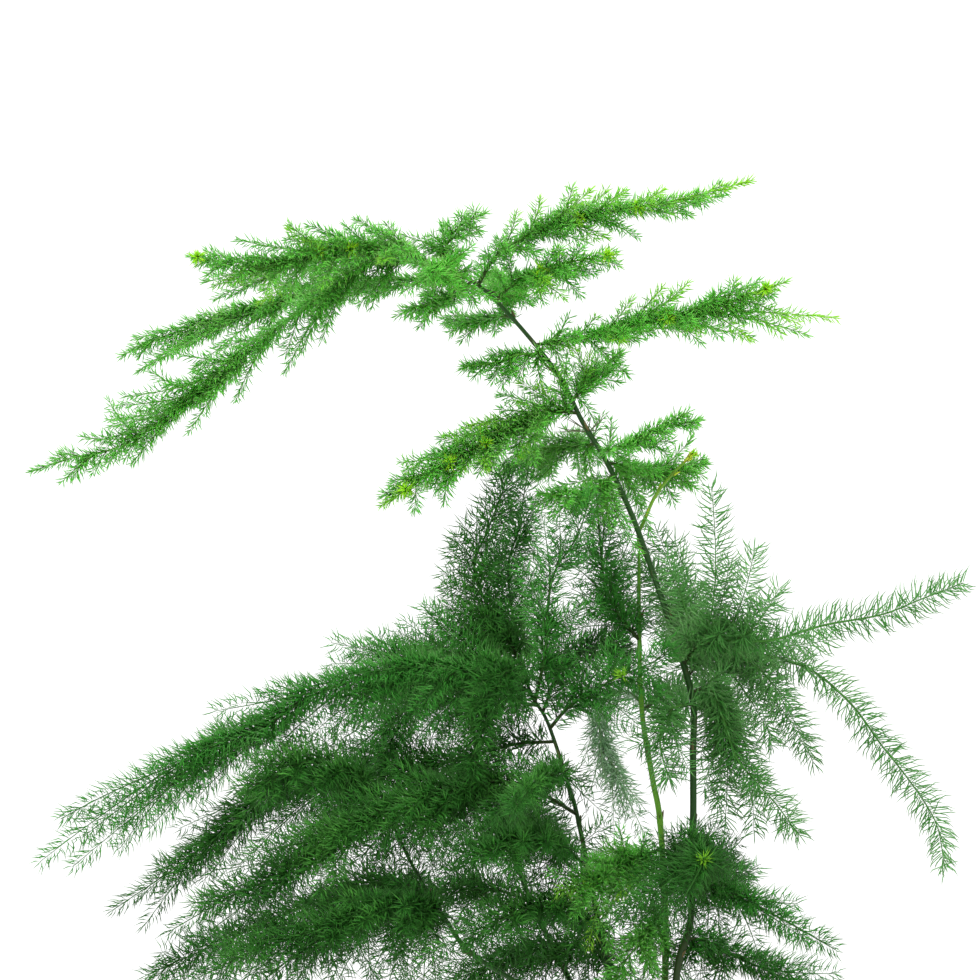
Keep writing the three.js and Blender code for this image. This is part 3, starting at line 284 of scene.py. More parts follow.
           (-175, 30, 126), (-190, 34, 119)],
          [(0.2, -102, 8, 139), (0.35, -130, 16, 128), (0.5, -149, 22, 121), (0.15, -91, 4, 126),
           (0.1, -84, 10, 138), (0.12, -92, 20, 129), (0.25, -107, 6, 127), (0.3, -119, 24, 118),
           (0.45, -161, 34, 115), (0.2, -111, 20, 161), (0.6, -173, 40, 134), (0.05, -76, -2, 124),
           (0.3, -97, 10, 115), (0.4, -130, 30, 110), (0.15, -84, 12, 112), (0.5, -145, 26, 126),
           (0.35, -111, 18, 111), (0.5, -145, 28, 114), (0.14, -91, 14, 118), (0.2, -102, 20, 115)]),
    frond("leaning_tip", "leaning", "dark", (5, 21, 40),
          [(-101, -18, 193), (-110, -20, 201), (-123, -26, 205), (-135, -34, 201), (-148, -42, 194)],
          [(0.3, -132, -34, 209), (0.4, -139, -30, 186), (0.1, -98, -26, 213), (0.15, -110, -24, 186),
           (0.2, -120, -40, 189), (0.5, -152, -34, 180), (0.55, -150, -48, 206), (0.05, -87, -20, 182),
           (0.1, -91, -24, 198), (0.05, -95, -18, 175), (0.25, -117, -26, 178), (0.1, -83, -22, 169),
           (0.15, -91, -24, 166), (0.2, -98, -28, 169)]),
    frond("centre_front", "forked", "dark", (5, 24, 20),
          [(-20, 3, 163), (-31, -18, 173), (-42, -34, 177), (-53, -50, 175), (-64, -64, 171)],
          [(0.2, -36, -20, 160), (0.4, -53, -46, 162), (0.15, -42, -30, 161), (0.4, -72, -58, 181),
           (0.5, -75, -60, 163), (0.25, -46, -40, 191), (0.35, -64, -48, 176), (0.42, -73, -56, 171),
           (0.46, -79, -60, 174)]),
    frond("bottom_front", "forked", "dark", (4, 21, 20),
          [(-16, 2, 141), (-26, -18, 150), (-40, -36, 152), (-53, -50, 147), (-70, -60, 139)],
          [(0.3, -46, -40, 122), (0.45, -64, -52, 127), (0.4, -68, -56, 148), (0.55, -83, -66, 134),
           (0.5, -76, -52, 123), (0.3, -51, -30, 134), (0.05, -12, -6, 125), (0.12, -31, -24, 115),
           (0.25, -46, -40, 117), (0.35, -61, -46, 117), (0.04, -8, -10, 112), (0.02, 0, -6, 117),
           (0.1, -19, -16, 118)]),
    frond("bottom_mid", "forked", "dark", (4, 21, 10),
          [(-13, 2, 130), (-24, 14, 132), (-38, 22, 130), (-53, 28, 125), (-72, 32, 117)],
          [(0.2, -30, 18, 117), (0.4, -57, 28, 114), (0.1, -19, 14, 117), (0.3, -49, 34, 135),
           (0.5, -76, 30, 125), (0.6, -84, 40, 113), (0.5, -72, 24, 110), (0.05, -7, 6, 118),
           (0.2, -19, 20, 107), (0.3, -38, 30, 106), (0.02, 4, 4, 112), (0.08, -15, 10, 112)]),
    frond("lobe", "upright", "lobe", (4, 17, 20),
          [(8, 12, 169), (0, 2, 167), (-10, -12, 164), (-19, -24, 159), (-26, -32, 156)],
          [(0.15, -4, 4, 150), (0.3, -13, -18, 174), (0.1, 4, 2, 154), (0.2, 0, -8, 153),
           (0.3, -8, -22, 153), (0.4, -20, -36, 169), (0.15, -8, -6, 142), (0.1, -13, -10, 148),
           (0.3, -8, -20, 179), (0.4, -29, -30, 142), (0.5, -35, -36, 152), (0.55, -35, -38, 164),
           (0.45, -20, -28, 136), (0.35, -13, -24, 134), (0.2, 2, -10, 175), (0.6, -32, -40, 157),
           (0.3, -16, -30, 142), (0.5, -26, -42, 148)],
          young=0.3),
    frond("lobe_low", "upright", "lobe", (3, 15, 30),
          [(10, 12, 148), (4, -2, 141), (-1, -12, 135), (-7, -20, 128), (-11, -26, 121)],
          [(0.15, 15, 2, 126), (0.3, 3, -12, 120), (0.1, 0, 4, 150), (0.2, -8, -10, 144),
           (0.3, -12, -20, 135), (0.25, 8, 0, 119), (0.1, 19, 4, 116), (0.05, 3, 8, 127),
           (0.02, -4, 6, 150)]),
    frond("cluster", "arching", "dark", (6, 19, 0),
          [(20, -6, 168), (21, -22, 171), (22, -40, 172), (22, -58, 169)],
          [(0.12, 7, -24, 151), (0.14, 30, -20, 143), (0.12, -1, -20, 163), (0.2, 39, -34, 161),
           (0.1, 18, -16, 141), (0.3, 3, -40, 177), (0.1, 12, -10, 155), (0.15, 3, -20, 152),
           (0.2, -1, -28, 145), (0.2, 8, -30, 142), (0.08, 15, -14, 137), (0.06, 7, -8, 159),
           (0.5, -1, -46, 161), (0.6, -6, -48, 152), (0.5, 2, -44, 146), (0.7, 9, -52, 144),
           (0.4, -9, -40, 158), (0.8, -2, -60, 155), (0.8, 6, -62, 152), (0.6, -10, -52, 150),
           (0.9, 11, -64, 151), (0.5, -14, -46, 143)],
          turn=GOLDEN_TURN, shade=0.15, tufts=(0.9,)),
    frond("cluster_right", "arching", "mesh", (5, 13, 30),
          [(19, -7, 153), (28, -14, 156), (39, -20, 152), (54, -28, 145), (72, -36, 135)],
          [(0.35, 58, -34, 152), (0.45, 62, -12, 137), (0.2, 44, -24, 165), (0.08, 24, -12, 128),
           (0.3, 45, -14, 129), (0.12, 31, -20, 164)],
          shade=0.2),
    frond("cluster_low", "arching", "mesh", (4, 18, 20),
          [(18, -7, 137), (25, 2, 135), (38, 8, 128), (54, 16, 120), (67, 24, 110)],
          [(0.08, 14, -2, 122), (0.15, 23, 6, 120), (0.3, 33, 14, 115), (0.04, 9, 0, 136), (0.06, 8, 0, 117),
           (0.3, 24, 20, 107), (0.4, 66, 12, 125), (0.5, 67, 20, 115), (0.6, 76, 20, 121)],
          shade=0.3),
    frond("cluster_back", "arching", "dark", (4, 21, 10),
          [(20, -6, 161), (26, 18, 165), (30, 38, 163), (34, 58, 156), (37, 78, 147)],
          [(0.2, 16, 14, 148), (0.3, 40, 40, 148), (0.15, 10, 16, 157), (0.25, 5, 30, 148),
           (0.3, 17, 40, 136), (0.4, 33, 60, 127), (0.1, 19, 12, 127), (0.12, 8, 20, 138)],
          shade=0.3),
    frond("right_long", "arching", "thin", (6, 12, 40),
          [(17, -2, 241), (22, -10, 248), (32, -14, 250), (48, -22, 250), (68, -30, 256), (89, -34, 260),
           (104, -38, 266), (119, -42, 272)],
          [(0.12, 26, -26, 308), (0.2, 42, -30, 285), (0.3, 51, -34, 270), (0.06, 10, -6, 280),
           (0.02, 3, 24, 280), (0.03, 8, 22, 264), (0.03, 7, 26, 253), (0.05, 14, 20, 287),
           (0.14, 33, -24, 280), (0.22, 48, -20, 265), (0.02, 7, 26, 291), (0.03, -1, 30, 280),
           (0.08, 21, 14, 272)],
          until=0.4),
    frond("right_droop", "arching", "thin", (5, 13, 50),
          [(18, -2, 236), (24, 8, 241), (33, 13, 245), (50, 17, 243), (67, 19, 237), (82, 20, 224),
           (93, 20, 209), (104, 20, 195), (114, 18, 179), (117, 14, 162)],
          [(0.2, 68, 30, 201), (0.12, 51, 2, 211), (0.16, 65, 24, 206), (0.2, 57, -4, 225),
           (0.04, 10, 24, 257), (0.24, 74, 22, 249), (0.18, 52, 30, 207)],
          until=0.4),
    frond("right_down", "arching", "thin", (4, 15, 20),
          [(19, -3, 230), (26, -2, 231), (31, -3, 221), (36, -4, 206), (42, -5, 198), (51, -6, 188),
           (60, -8, 176)],
          [(0.15, 44, 14, 175), (0.12, 24, -2, 192), (0.05, 23, 4, 204), (0.2, 30, 16, 186),
           (0.28, 33, 18, 179)]),
    frond("inner_down", "arching", "thin", (4, 15, 20),
          [(20, -3, 225), (14, -13, 225), (9, -16, 222), (7, -20, 211), (10, -24, 198)],
          [(0.3, 18, -22, 201), (0.3, 13, -8, 212)]),
    frond("pale", "upright", "pale", (4, 13, 40),
          [(1, 12, 226), (-6, 34, 229), (-13, 47, 223), (-14, 55, 211), (-9, 60, 198), (-4, 62, 179)],
          [(0.3, -20, 58, 201), (0.5, -1, 66, 185), (0.45, -12, 46, 192), (0.6, 2, 44, 184),
           (0.75, 4, 46, 171), (0.6, -18, 50, 189), (0.7, -9, 52, 176)]),
    frond("back_right", "upright", "thin", (3, 12, 10),
          [(1, 12, 222), (13, 32, 229), (25, 52, 228), (34, 74, 222), (42, 94, 211)],
          [],
          shade=0.15),
    frond("back_left", "back", "dark", (5, 22, 10),
          [(-67, 68, 228), (-72, 78, 236), (-80, 90, 237), (-91, 102, 232), (-101, 112, 226)],
          [(0.2, -85, 92, 247), (0.3, -93, 96, 247), (0.4, -101, 110, 242), (0.3, -89, 96, 215),
           (0.5, -113, 120, 222), (0.5, -109, 106, 215)]),
    frond("back_low", "back", "dark", (5, 22, 10),
          [(-41, 44, 147), (-55, 62, 150), (-71, 80, 149), (-89, 94, 145), (-109, 106, 137)],
          [(0.2, -69, 72, 165), (0.3, -81, 90, 164), (0.4, -93, 84, 132), (0.5, -113, 110, 146),
           (0.3, -73, 76, 133), (0.6, -117, 104, 123)]),
    frond("back_centre", "back", "dark", (5, 22, 10),
          [(-53, 56, 178), (-49, 74, 180), (-40, 90, 176), (-31, 104, 167)],
          [(0.2, -53, 84, 192), (0.3, -45, 90, 160)]),
    frond("front_mid", "forked", "dark", (4, 12, 10),
          [(-29, 3, 202), (-32, -18, 200), (-38, -42, 199), (-44, -64, 195), (-49, -84, 189)],
          [(0.3, -53, -48, 206), (0.4, -57, -60, 185), (0.1, -15, -8, 185)],
          turn=GOLDEN_TURN),
]


def linear(hexed):
    """sRGB hex to linear: c / 12.92 up to 0.04045, else ((c + 0.055) / 1.055) to the power 2.4."""
    values = np.array([int(hexed[i:i + 2], 16) for i in (1, 3, 5)]) / 255
    curved = np.where(values <= 0.04045, values / 12.92, ((values + 0.055) / 1.055) ** 2.4)
    return tuple(curved.tolist()) + (1.0,)


# Sizes and colours that a user may change


def size(name, description, default, low, high):
    """A length in metres, shown in the panel."""
    return bpy.props.FloatProperty(
        name=name, description=description, default=default, min=low, max=high, unit="LENGTH", precision=5
    )


def colour(name, description, hexed):
    """A colour, shown in the panel."""
    return bpy.props.FloatVectorProperty(
        name=name, description=description, default=linear(hexed), size=4, min=0, max=1, subtype="COLOR"
    )


class FernSizes(bpy.types.PropertyGroup):
    """Sizes of the pieces, in metres."""

    needle_thickness: size("Needle thickness", "Across a needle where it is thickest", 0.00052, 0.0001, 0.002)
    main_twig: size("Main twig", "Radius of a frond's main twig at its root", 0.00075, 0.0002, 0.003)
    side_twig: size("Side twig", "Radius of a side brush's twig at its root", 0.00034, 0.0001, 0.002)
    pot_height: size("Pot height", "From the foot to the rim", 0.099, 0.05, 0.3)
    foot_radius: size("Foot radius", "Outer radius of the pot's foot", 0.042, 0.02, 0.2)
    neck_radius: size("Neck radius", "Outer radius under the rim band", 0.0555, 0.02, 0.2)
    neck_height: size("Neck height", "Where the rim band begins", 0.077, 0.02, 0.3)
    band_radius: size("Band radius", "Outer radius of the rim band at its foot", 0.060, 0.02, 0.2)
    wall: size("Wall", "Thickness of the pot's wall", 0.0045, 0.001, 0.02)
    soil_height: size("Soil height", "Height of the soil at the wall", 0.090, 0.02, 0.3)
    crumbs: bpy.props.IntProperty(name="Crumbs", description="Loose crumbs on the soil", default=620, min=0)


class FernColours(bpy.types.PropertyGroup):
    """Colours of the finishes."""

    clay: colour("Clay", "Fired clay", "#B4623D")
    bloom: colour("Bloom", "Pale lime bloom on the clay", "#D9AE93")
    soil: colour("Soil", "Damp peat", "#33241A")
    stem: colour("Stem", "Green bark of a grown stem", "#173812")
    shoot: colour("Shoot", "Skin of the young shoot", "#4F8420")
    floor: colour("Floor", "Matt floor", "#F7F7F5")


# Curves


def unit(ways):
    """Each vector over its own length."""
    return ways / np.maximum(np.linalg.norm(ways, axis=-1, keepdims=True), 1e-12)


def draw(seed, index):
    """The fractional part of a tall sine wave: the same number from 0 to 1 for the same two seeds."""
    wave = np.sin(seed * 12.9898 + index * 78.233) * 4375.5453
    return wave - np.floor(wave)


def curve(knots, shares):
    """Curve through knots with even steps. On a span from p1 to p2 it is the cubic that leaves p1 along
    half of p2 - p0 and reaches p2 along half of p3 - p1; the end spans are carried on straight."""
    knots = np.asarray(knots, float)
    padded = np.vstack([2 * knots[0] - knots[1], knots, 2 * knots[-1] - knots[-2]])
    place = np.clip(np.asarray(shares, float), 0, 1) * (len(knots) - 1)
    span = np.minimum(place.astype(int), len(knots) - 2)
    u = (place - span)[:, None]
    p0, p1, p2, p3 = (padded[span + i] for i in range(4))
    leave, reach = (p2 - p0) / 2, (p3 - p1) / 2
    return (
        (2 * u**3 - 3 * u**2 + 1) * p1
        + (u**3 - 2 * u**2 + u) * leave
        + (3 * u**2 - 2 * u**3) * p2
        + (u**3 - u**2) * reach
    )


def even(knots, count):
    """Points at even lengths along the curve, and its length. A fine run of points is read off where its
    summed length is due."""
    fine = curve(knots, np.linspace(0, 1, FINE_STEPS))
    run = np.concatenate([[0], np.cumsum(np.linalg.norm(np.diff(fine, axis=0), axis=1))])
    due = np.linspace(0, run[-1], count)
    return np.column_stack([np.interp(due, run, fine[:, i]) for i in range(3)]), run[-1]


def along_paths(paths, which, shares):
    """Point and way at a share of a path, straight between its points. Paths are (number, points, 3)."""
    place = np.clip(shares, 0, 1) * (paths.shape[1] - 1)
    low = np.minimum(place.astype(int), paths.shape[1] - 2)
    first, second = paths[which, low], paths[which, low + 1]
    return first + (second - first) * (place - low)[:, None], unit(second - first)


def path_lengths(paths):
    """The length of each path."""
    return np.linalg.norm(np.diff(paths, axis=1), axis=2).sum(axis=1)


def across(ways, hints):
    """Two directions square to each way: way x hint, and that x way. A hint near the way gives place to X."""
    hints = np.broadcast_to(hints, ways.shape)
    near = np.abs((ways * hints).sum(axis=-1, keepdims=True)) > 0.93
    hints = np.where(near, np.array([1.0, 0.0, 0.0]), hints)
    side = unit(np.cross(ways, hints))
    return side, np.cross(side, ways)


# Surfaces: each is (points, triangles, paint, slot) in millimetres


def surface(points, triangles, tone=0.5, along=0.0, young=0.0, slot=0):
    """Paint is three numbers a point: its tone, how far along its piece it is, and how young."""
    count = len(points)
    paint = np.column_stack([np.broadcast_to(value, count) for value in (tone, along, young)])
    return points, triangles, paint, np.full(len(triangles), slot)


def joined(surfaces):
    """Several surfaces as one, each with its points counted on from the one before."""
    starts = np.cumsum([0] + [len(one[0]) for one in surfaces[:-1]])
    return (
        np.vstack([one[0] for one in surfaces]),
        np.vstack([one[1] + start for one, start in zip(surfaces, starts)]),
        np.vstack([one[2] for one in surfaces]),
        np.concatenate([one[3] for one in surfaces]),
    )


def tubes(paths, radii, sides, tone=0.5, young=0.0, slot=0):
    """Tubes: round each point of a path a ring, point + radius (cos a n + sin a b), with n carried along the
    path without twist and b square to it. A fan to the path's own end closes each end."""
    count, steps, _ = paths.shape
    ways = unit(np.gradient(paths, axis=1))
    normal = across(ways[:, 0], UP)[0]
    normals = []
    for step in range(steps):
        normal = unit(normal - (normal * ways[:, step]).sum(axis=1, keepdims=True) * ways[:, step])
        normals.append(normal)
    normals = np.stack(normals, axis=1)
    seconds = np.cross(ways, normals)
    turn = np.arange(sides) * 2 * np.pi / sides
    rings = paths[:, :, None] + radii[:, :, None, None] * (
        np.cos(turn)[:, None] * normals[:, :, None] + np.sin(turn)[:, None] * seconds[:, :, None]
    )
    points = np.concatenate([rings.reshape(count, -1, 3), paths[:, :1], paths[:, -1:]], axis=1)
    ring = np.arange(steps - 1)[:, None] * sides
    here, after = np.arange(sides), (np.arange(sides) + 1) % sides
    a, b = (ring + here).ravel(), (ring + after).ravel()
    last = (steps - 1) * sides
    foot = np.column_stack([np.full(sides, steps * sides), after, here])
    head = np.column_stack([np.full(sides, steps * sides + 1), last + here, last + after])
    lower, upper = np.column_stack([a, b, b + sides]), np.column_stack([a, b + sides, a + sides])
    one = np.vstack([lower, upper, foot, head])
    size_each = steps * sides + 2
    triangles = (one[None] + (np.arange(count) * size_each)[:, None, None]).reshape(-1, 3)
    along = np.concatenate([np.repeat(np.linspace(0, 1, steps), sides), [0, 1]])
    young = np.broadcast_to(young, count)[:, None] * along[None] ** 2
    tone = np.repeat(np.broadcast_to(tone, count), size_each)
    return surface(points.reshape(-1, 3), triangles, tone, np.tile(along, count), young.ravel(), slot)


def needle_faces(rings):
    """Faces of a needle whose points are its root, rings of three corners and its tip: fan, bands, fan."""
    k = np.arange(3)
    n = (k + 1) % 3
    faces = [np.column_stack([0 * k, 1 + n, 1 + k])]
    for first in range(1, 3 * rings - 2, 3):
        faces.append(np.column_stack([first + k, first + n, first + 3 + n]))
        faces.append(np.column_stack([first + k, first + 3 + n, first + 3 + k]))
    last = 3 * rings - 2
    return np.vstack(faces + [np.column_stack([last + k, last + n, 0 * k + last + 3])])


# Faces of a straight needle, whose points are its root, two middle corners and its tip.
STRAIGHT = np.array([[0, 1, 2], [3, 2, 1], [0, 3, 1], [0, 2, 3]])
# By number of rings, where along a bowed needle they stand and their radius as a share of its thickness.
RINGS = {1: ((0.4, 0.57),), 2: ((0.12, 0.46), (0.66, 0.42))}


def spindles(roots, ways, lengths, thick, rings, bend, tone, young, slot=0):
    """Needles, closed and pointed at both ends. With no ring, one is its root, two corners half-way along it,
    60 degrees apart at a distance of thick, and its tip. Else a ring at share s has three corners round
    root + way L s + 4 s (1 - s) bend."""
    count = len(roots)
    side, rise = across(ways, UP)
    parts, marks = [roots[:, None]], [0.0]
    if rings:
        turn = np.arange(3)[:, None] * 2 * np.pi / 3
        faces, places = needle_faces(rings), RINGS[rings]
    else:
        turn = np.array([-0.5, 0.5])[:, None] * np.pi / 3
        faces, places = STRAIGHT, ((0.5, 1.0),)
    for share, wide in places:
        middle = roots + ways * (share * lengths)[:, None] + 4 * share * (1 - share) * bend
        outward = np.cos(turn) * side[:, None] + np.sin(turn) * rise[:, None]
        parts.append(middle[:, None] + thick * wide * outward)
        marks += [share] * len(turn)
    parts.append((roots + ways * lengths[:, None])[:, None])
    points = np.concatenate(parts, axis=1)
    each = points.shape[1]
    triangles = (faces[None] + (np.arange(count) * each)[:, None, None]).reshape(-1, 3)
    along = np.tile(marks + [1.0], count)
    tone, young = np.repeat(tone, each), np.repeat(young, each)
    return surface(points.reshape(-1, 3), triangles, tone, along, young, slot)



def turned(profile, segments):
    """Turned wall: each (radius, height) goes round Z in a ring; a point on the axis is one pole."""
    turn = np.arange(segments) * 2 * np.pi / segments
    ring = np.column_stack([np.cos(turn), np.sin(turn)])
    points, starts, total = [], [], 0
    for radius, height in profile:
        starts.append(total)
        count = 1 if radius < 1e-9 else segments
        points.append(np.column_stack([ring[:count] * radius, np.full(count, height)]))
        total += count
    here, after = np.arange(segments), (np.arange(segments) + 1) % segments
    triangles = []
    for (low, _), (high, _), a, b in zip(profile, profile[1:], starts, starts[1:]):
        if high < 1e-9:
            triangles.append(np.column_stack([a + here, a + after, np.full(segments, b)]))
        elif low < 1e-9:
            triangles.append(np.column_stack([np.full(segments, a), b + after, b + here]))
        else:
            triangles.append(np.column_stack([a + here, a + after, b + after]))
            triangles.append(np.column_stack([a + here, b + after, b + here]))
    return np.vstack(points), np.vstack(triangles)


def rounded(corners, radii, steps=5):
    """Corners cut back by their radius and joined by the parabola (1-t)^2 a + 2t(1-t) corner + t^2 b."""
    corners = np.asarray(corners, float)
    out = [corners[:1]]
    for before, corner, after, radius in zip(corners, corners[1:], corners[2:], radii):
        reach = min(radius, 0.45 * np.linalg.norm(before - corner), 0.45 * np.linalg.norm(after - corner))
        a = corner + unit(before - corner) * reach
        b = corner + unit(after - corner) * reach
        t = np.linspace(0, 1, steps)[:, None]
        out.append((1 - t) ** 2 * a + 2 * t * (1 - t) * corner + t**2 * b)
    out.append(corners[-1:])
    return np.vstack(out)


def make_piece(name, surfaces, materials, nodes):
    """Puts the joined surfaces into a mesh at the origin, with its paint, and stands it for its CAD nodes."""
    points, triangles, paint, index = joined(surfaces)
    mesh = bpy.data.meshes.new(name)
    mesh.vertices.add(len(points))
    mesh.vertices.foreach_set("co", (points * MM).astype(np.float32).ravel())
    mesh.loops.add(triangles.size)
    mesh.loops.foreach_set("vertex_index", triangles.astype(np.int32).ravel())
    mesh.polygons.add(len(triangles))
    mesh.polygons.foreach_set("loop_start", np.arange(0, triangles.size, 3, dtype=np.int32))
    mesh.polygons.foreach_set("material_index", index.astype(np.int32))
    mesh.polygons.foreach_set("use_smooth", np.ones(len(triangles), bool))
    for i, label in enumerate(("tone", "along", "young")):
        values = mesh.attributes.new(label, "FLOAT", "POINT")
        values.data.foreach_set("value", paint[:, i].astype(np.float32))
    for made in materials:
        mesh.materials.append(made)
    mesh.update(calc_edges=True)
    if mesh.validate():
        raise RuntimeError(f"{name} has faces that don't hold together")
    piece = bpy.data.objects.new(name, mesh)
    bpy.context.scene.collection.objects.link(piece)
    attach(piece, "root")
    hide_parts(*nodes)
    return piece


# Finishes


def add(tree, kind, values=None, links=None, **settings):
    """Adds a node with its settings, its socket values and its links."""
    made = tree.nodes.new(kind)
    for name, value in settings.items():
        setattr(made, name, value)
    for socket, value in (values or {}).items():
        made.inputs[socket].default_value = value
    for socket, source in (links or {}).items():
        tree.links.new(source, made.inputs[socket])
    return made


def finish_named(name, values):
    """A new material with its main shader, and its tree."""
    made = bpy.data.materials.new(name)
    made.use_nodes = True
    tree = made.node_tree
    tree.nodes.clear()
    shader = add(tree, "ShaderNodeBsdfPrincipled", values)
    add(tree, "ShaderNodeOutputMaterial", links={"Surface": shader.outputs[0]})
    return made, tree, shader


def blended(tree, share, first, second):
    """Colour that goes from first to second by share. Each colour is a socket or four numbers."""
    mixed = add(tree, "ShaderNodeMix", links={0: share}, data_type="RGBA")
    for socket, value in ((6, first), (7, second)):
        if isinstance(value, bpy.types.NodeSocket):
            tree.links.new(value, mixed.inputs[socket])
        else:
            mixed.inputs[socket].default_value = value
    return mixed.outputs[2]


def grain(tree, millimetres, detail=4.0, roughness=0.6, stretch=(1, 1, 1)):
    """Noise whose patches are about so many millimetres across, fixed to the piece."""
    place = add(tree, "ShaderNodeTexCoord")
    mapped = add(tree, "ShaderNodeMapping", {"Scale": stretch}, {"Vector": place.outputs["Object"]})
    values = {"Scale": 0.5 / (millimetres * MM), "Detail": detail, "Roughness": roughness}
    return add(tree, "ShaderNodeTexNoise", values, {"Vector": mapped.outputs[0]}).outputs["Fac"]


def dress(tree, shader, base, roughness=None, height=None, strength=0.0, depth=0.0):
    """Links a finish's colour to its shader, and if given its roughness and a bump, depth in millimetres."""
    tree.links.new(base, shader.inputs["Base Color"])
    if roughness is not None:
        tree.links.new(roughness, shader.inputs["Roughness"])
    if height is not None:
        values = {"Strength": strength, "Distance": depth * MM}
        bump = add(tree, "ShaderNodeBump", values, {"Height": height})
        tree.links.new(bump.outputs[0], shader.inputs["Normal"])


def spread(tree, source, low, high, to_low=0.0, to_high=1.0):
    """A number taken from one range to another, and held at its ends."""
    values = {1: low, 2: high, 3: to_low, 4: to_high}
    return add(tree, "ShaderNodeMapRange", values, {0: source}).outputs[0]


def painted(tree, label):
    """A number that was painted on the points of the piece."""
    return add(tree, "ShaderNodeAttribute", attribute_name=label).outputs["Fac"]


# Hex colours of living needles: the shaded, common and lit tone, and the young tip.
# The deep greens of the dark and mesh kinds, under the fresh crown, are partly older growth and partly
# painted shade from the crown above.
NEEDLE_COLOURS = {
    "fresh": ("#41A526", "#5ABE39", "#84D05A", "#8AD31E"),
    "dark": ("#1E5416", "#2C7021", "#539C3B", "#7ABA2C"),
    "mesh": ("#26691D", "#368A2B", "#5AA04A", "#7ABA2C"),
    "thin": ("#35722C", "#4A883E", "#76AC66", "#A8C882"),
    "pale": ("#86BC84", "#A4D0A2", "#C2E0BC", "#D4EABF"),
    "lobe": ("#3F9A2C", "#55B43A", "#7DCC58", "#88CA2A"),
}
# How much light passes through needles, and how far its blue part goes as a share of its green part.
THROUGH = {"fresh": (0.4, 0.25), "lobe": (0.3, 0.25), "thin": (0.2, 0.3), "mesh": (0.15, 0.3)}


def needle_finish(kind):
    """Living cladodes, grown, with a thin wax skin: a soft green gloss, each needle a shade of its own, paler
    and brighter at young tips, in patches of some 14 mm. Each needle turns grey-brown to its point: partly
    its own brown point, partly painted shade at the outer ends."""
    deep, common, lit, fresh = (linear(value) for value in NEEDLE_COLOURS[kind])
    values = {"Specular IOR Level": 0.14}
    if kind in THROUGH:
        weight, blue = THROUGH[kind]
        values["Subsurface Weight"] = weight
        values["Subsurface Radius"] = (0.35, 1.0, blue)
        values["Subsurface Scale"] = 2 * MM
    made, tree, shader = finish_named(f"Living_cladodes_{kind}", values)
    patches = spread(tree, grain(tree, 14), 0.35, 0.65, -0.3, 0.3)
    tone = add(tree, "ShaderNodeMath", links={0: painted(tree, "tone"), 1: patches}, operation="ADD")
    base = blended(tree, spread(tree, tone.outputs[0], 0.0, 0.5), deep, common)
    base = blended(tree, spread(tree, tone.outputs[0], 0.5, 1.1), base, lit)
    # Grey-brown towards each needle's point: partly its own brown point, partly painted shade at the outer
    # ends.
    ends = spread(tree, painted(tree, "along"), 0.35, 1.0, 0.0, 0.5)
    base = blended(tree, ends, base, linear("#3A4A2C"))
    base = blended(tree, spread(tree, painted(tree, "young"), 0.15, 1.0), base, fresh)
    dress(tree, shader, base, spread(tree, grain(tree, 3), 0.3, 0.7, 0.4, 0.58))
    return made


# Hex colours of green twigs.
# The dark and mesh kinds' deeper twig green is partly their own and partly painted shade from the crown
# above.
TWIG_COLOURS = {"fresh": "#55962B", "dark": "#2C6420", "mesh": "#2C6420", "thin": "#437F30",
                "pale": "#93BC86", "lobe": "#4A8A2C"}


def twig_finish(kind):
    """Green wood of thin twigs, grown: dull, brown-green at the root and greener to the tip."""
    skin, fresh = linear(TWIG_COLOURS[kind]), linear(NEEDLE_COLOURS[kind][3])
    made, tree, shader = finish_named(f"Green_twig_{kind}", {"Roughness": 0.6, "Specular IOR Level": 0.15})
    base = blended(tree, spread(tree, painted(tree, "along"), 0.0, 0.35), linear("#2F3A1C"), skin)
    patches = spread(tree, grain(tree, 2.5), 0.4, 0.65, 0.0, 0.3)
    base = blended(tree, patches, base, linear("#2F3A1C"))
    base = blended(tree, spread(tree, painted(tree, "young"), 0.3, 1.0), base, fresh)
    dress(tree, shader, base)
    return made


def stem_finish(name, skin, tip, foot):
    """Green bark of a wiry stem, grown: fine length-wise ridges, corky brown flecks, brown near the soil."""
    made, tree, shader = finish_named(name, {"Specular IOR Level": 0.2})
    fleck = spread(tree, grain(tree, 1.6, stretch=(1, 1, 0.3)), 0.56, 0.7, 0.0, 0.75)
    patches = spread(tree, grain(tree, 22, stretch=(1, 1, 0.5)), 0.35, 0.65)
    base = blended(tree, patches, skin, tip)
    base = blended(tree, spread(tree, painted(tree, "along"), 0.0, 0.3, 0.8, 0.0), base, foot)
    base = blended(tree, fleck, base, linear("#4B4527"))
    ridges = grain(tree, 0.7, stretch=(1, 1, 0.08))
    dress(tree, shader, base, spread(tree, fleck, 0.0, 1.0, 0.38, 0.7), ridges, 0.35, 0.2)
    return made


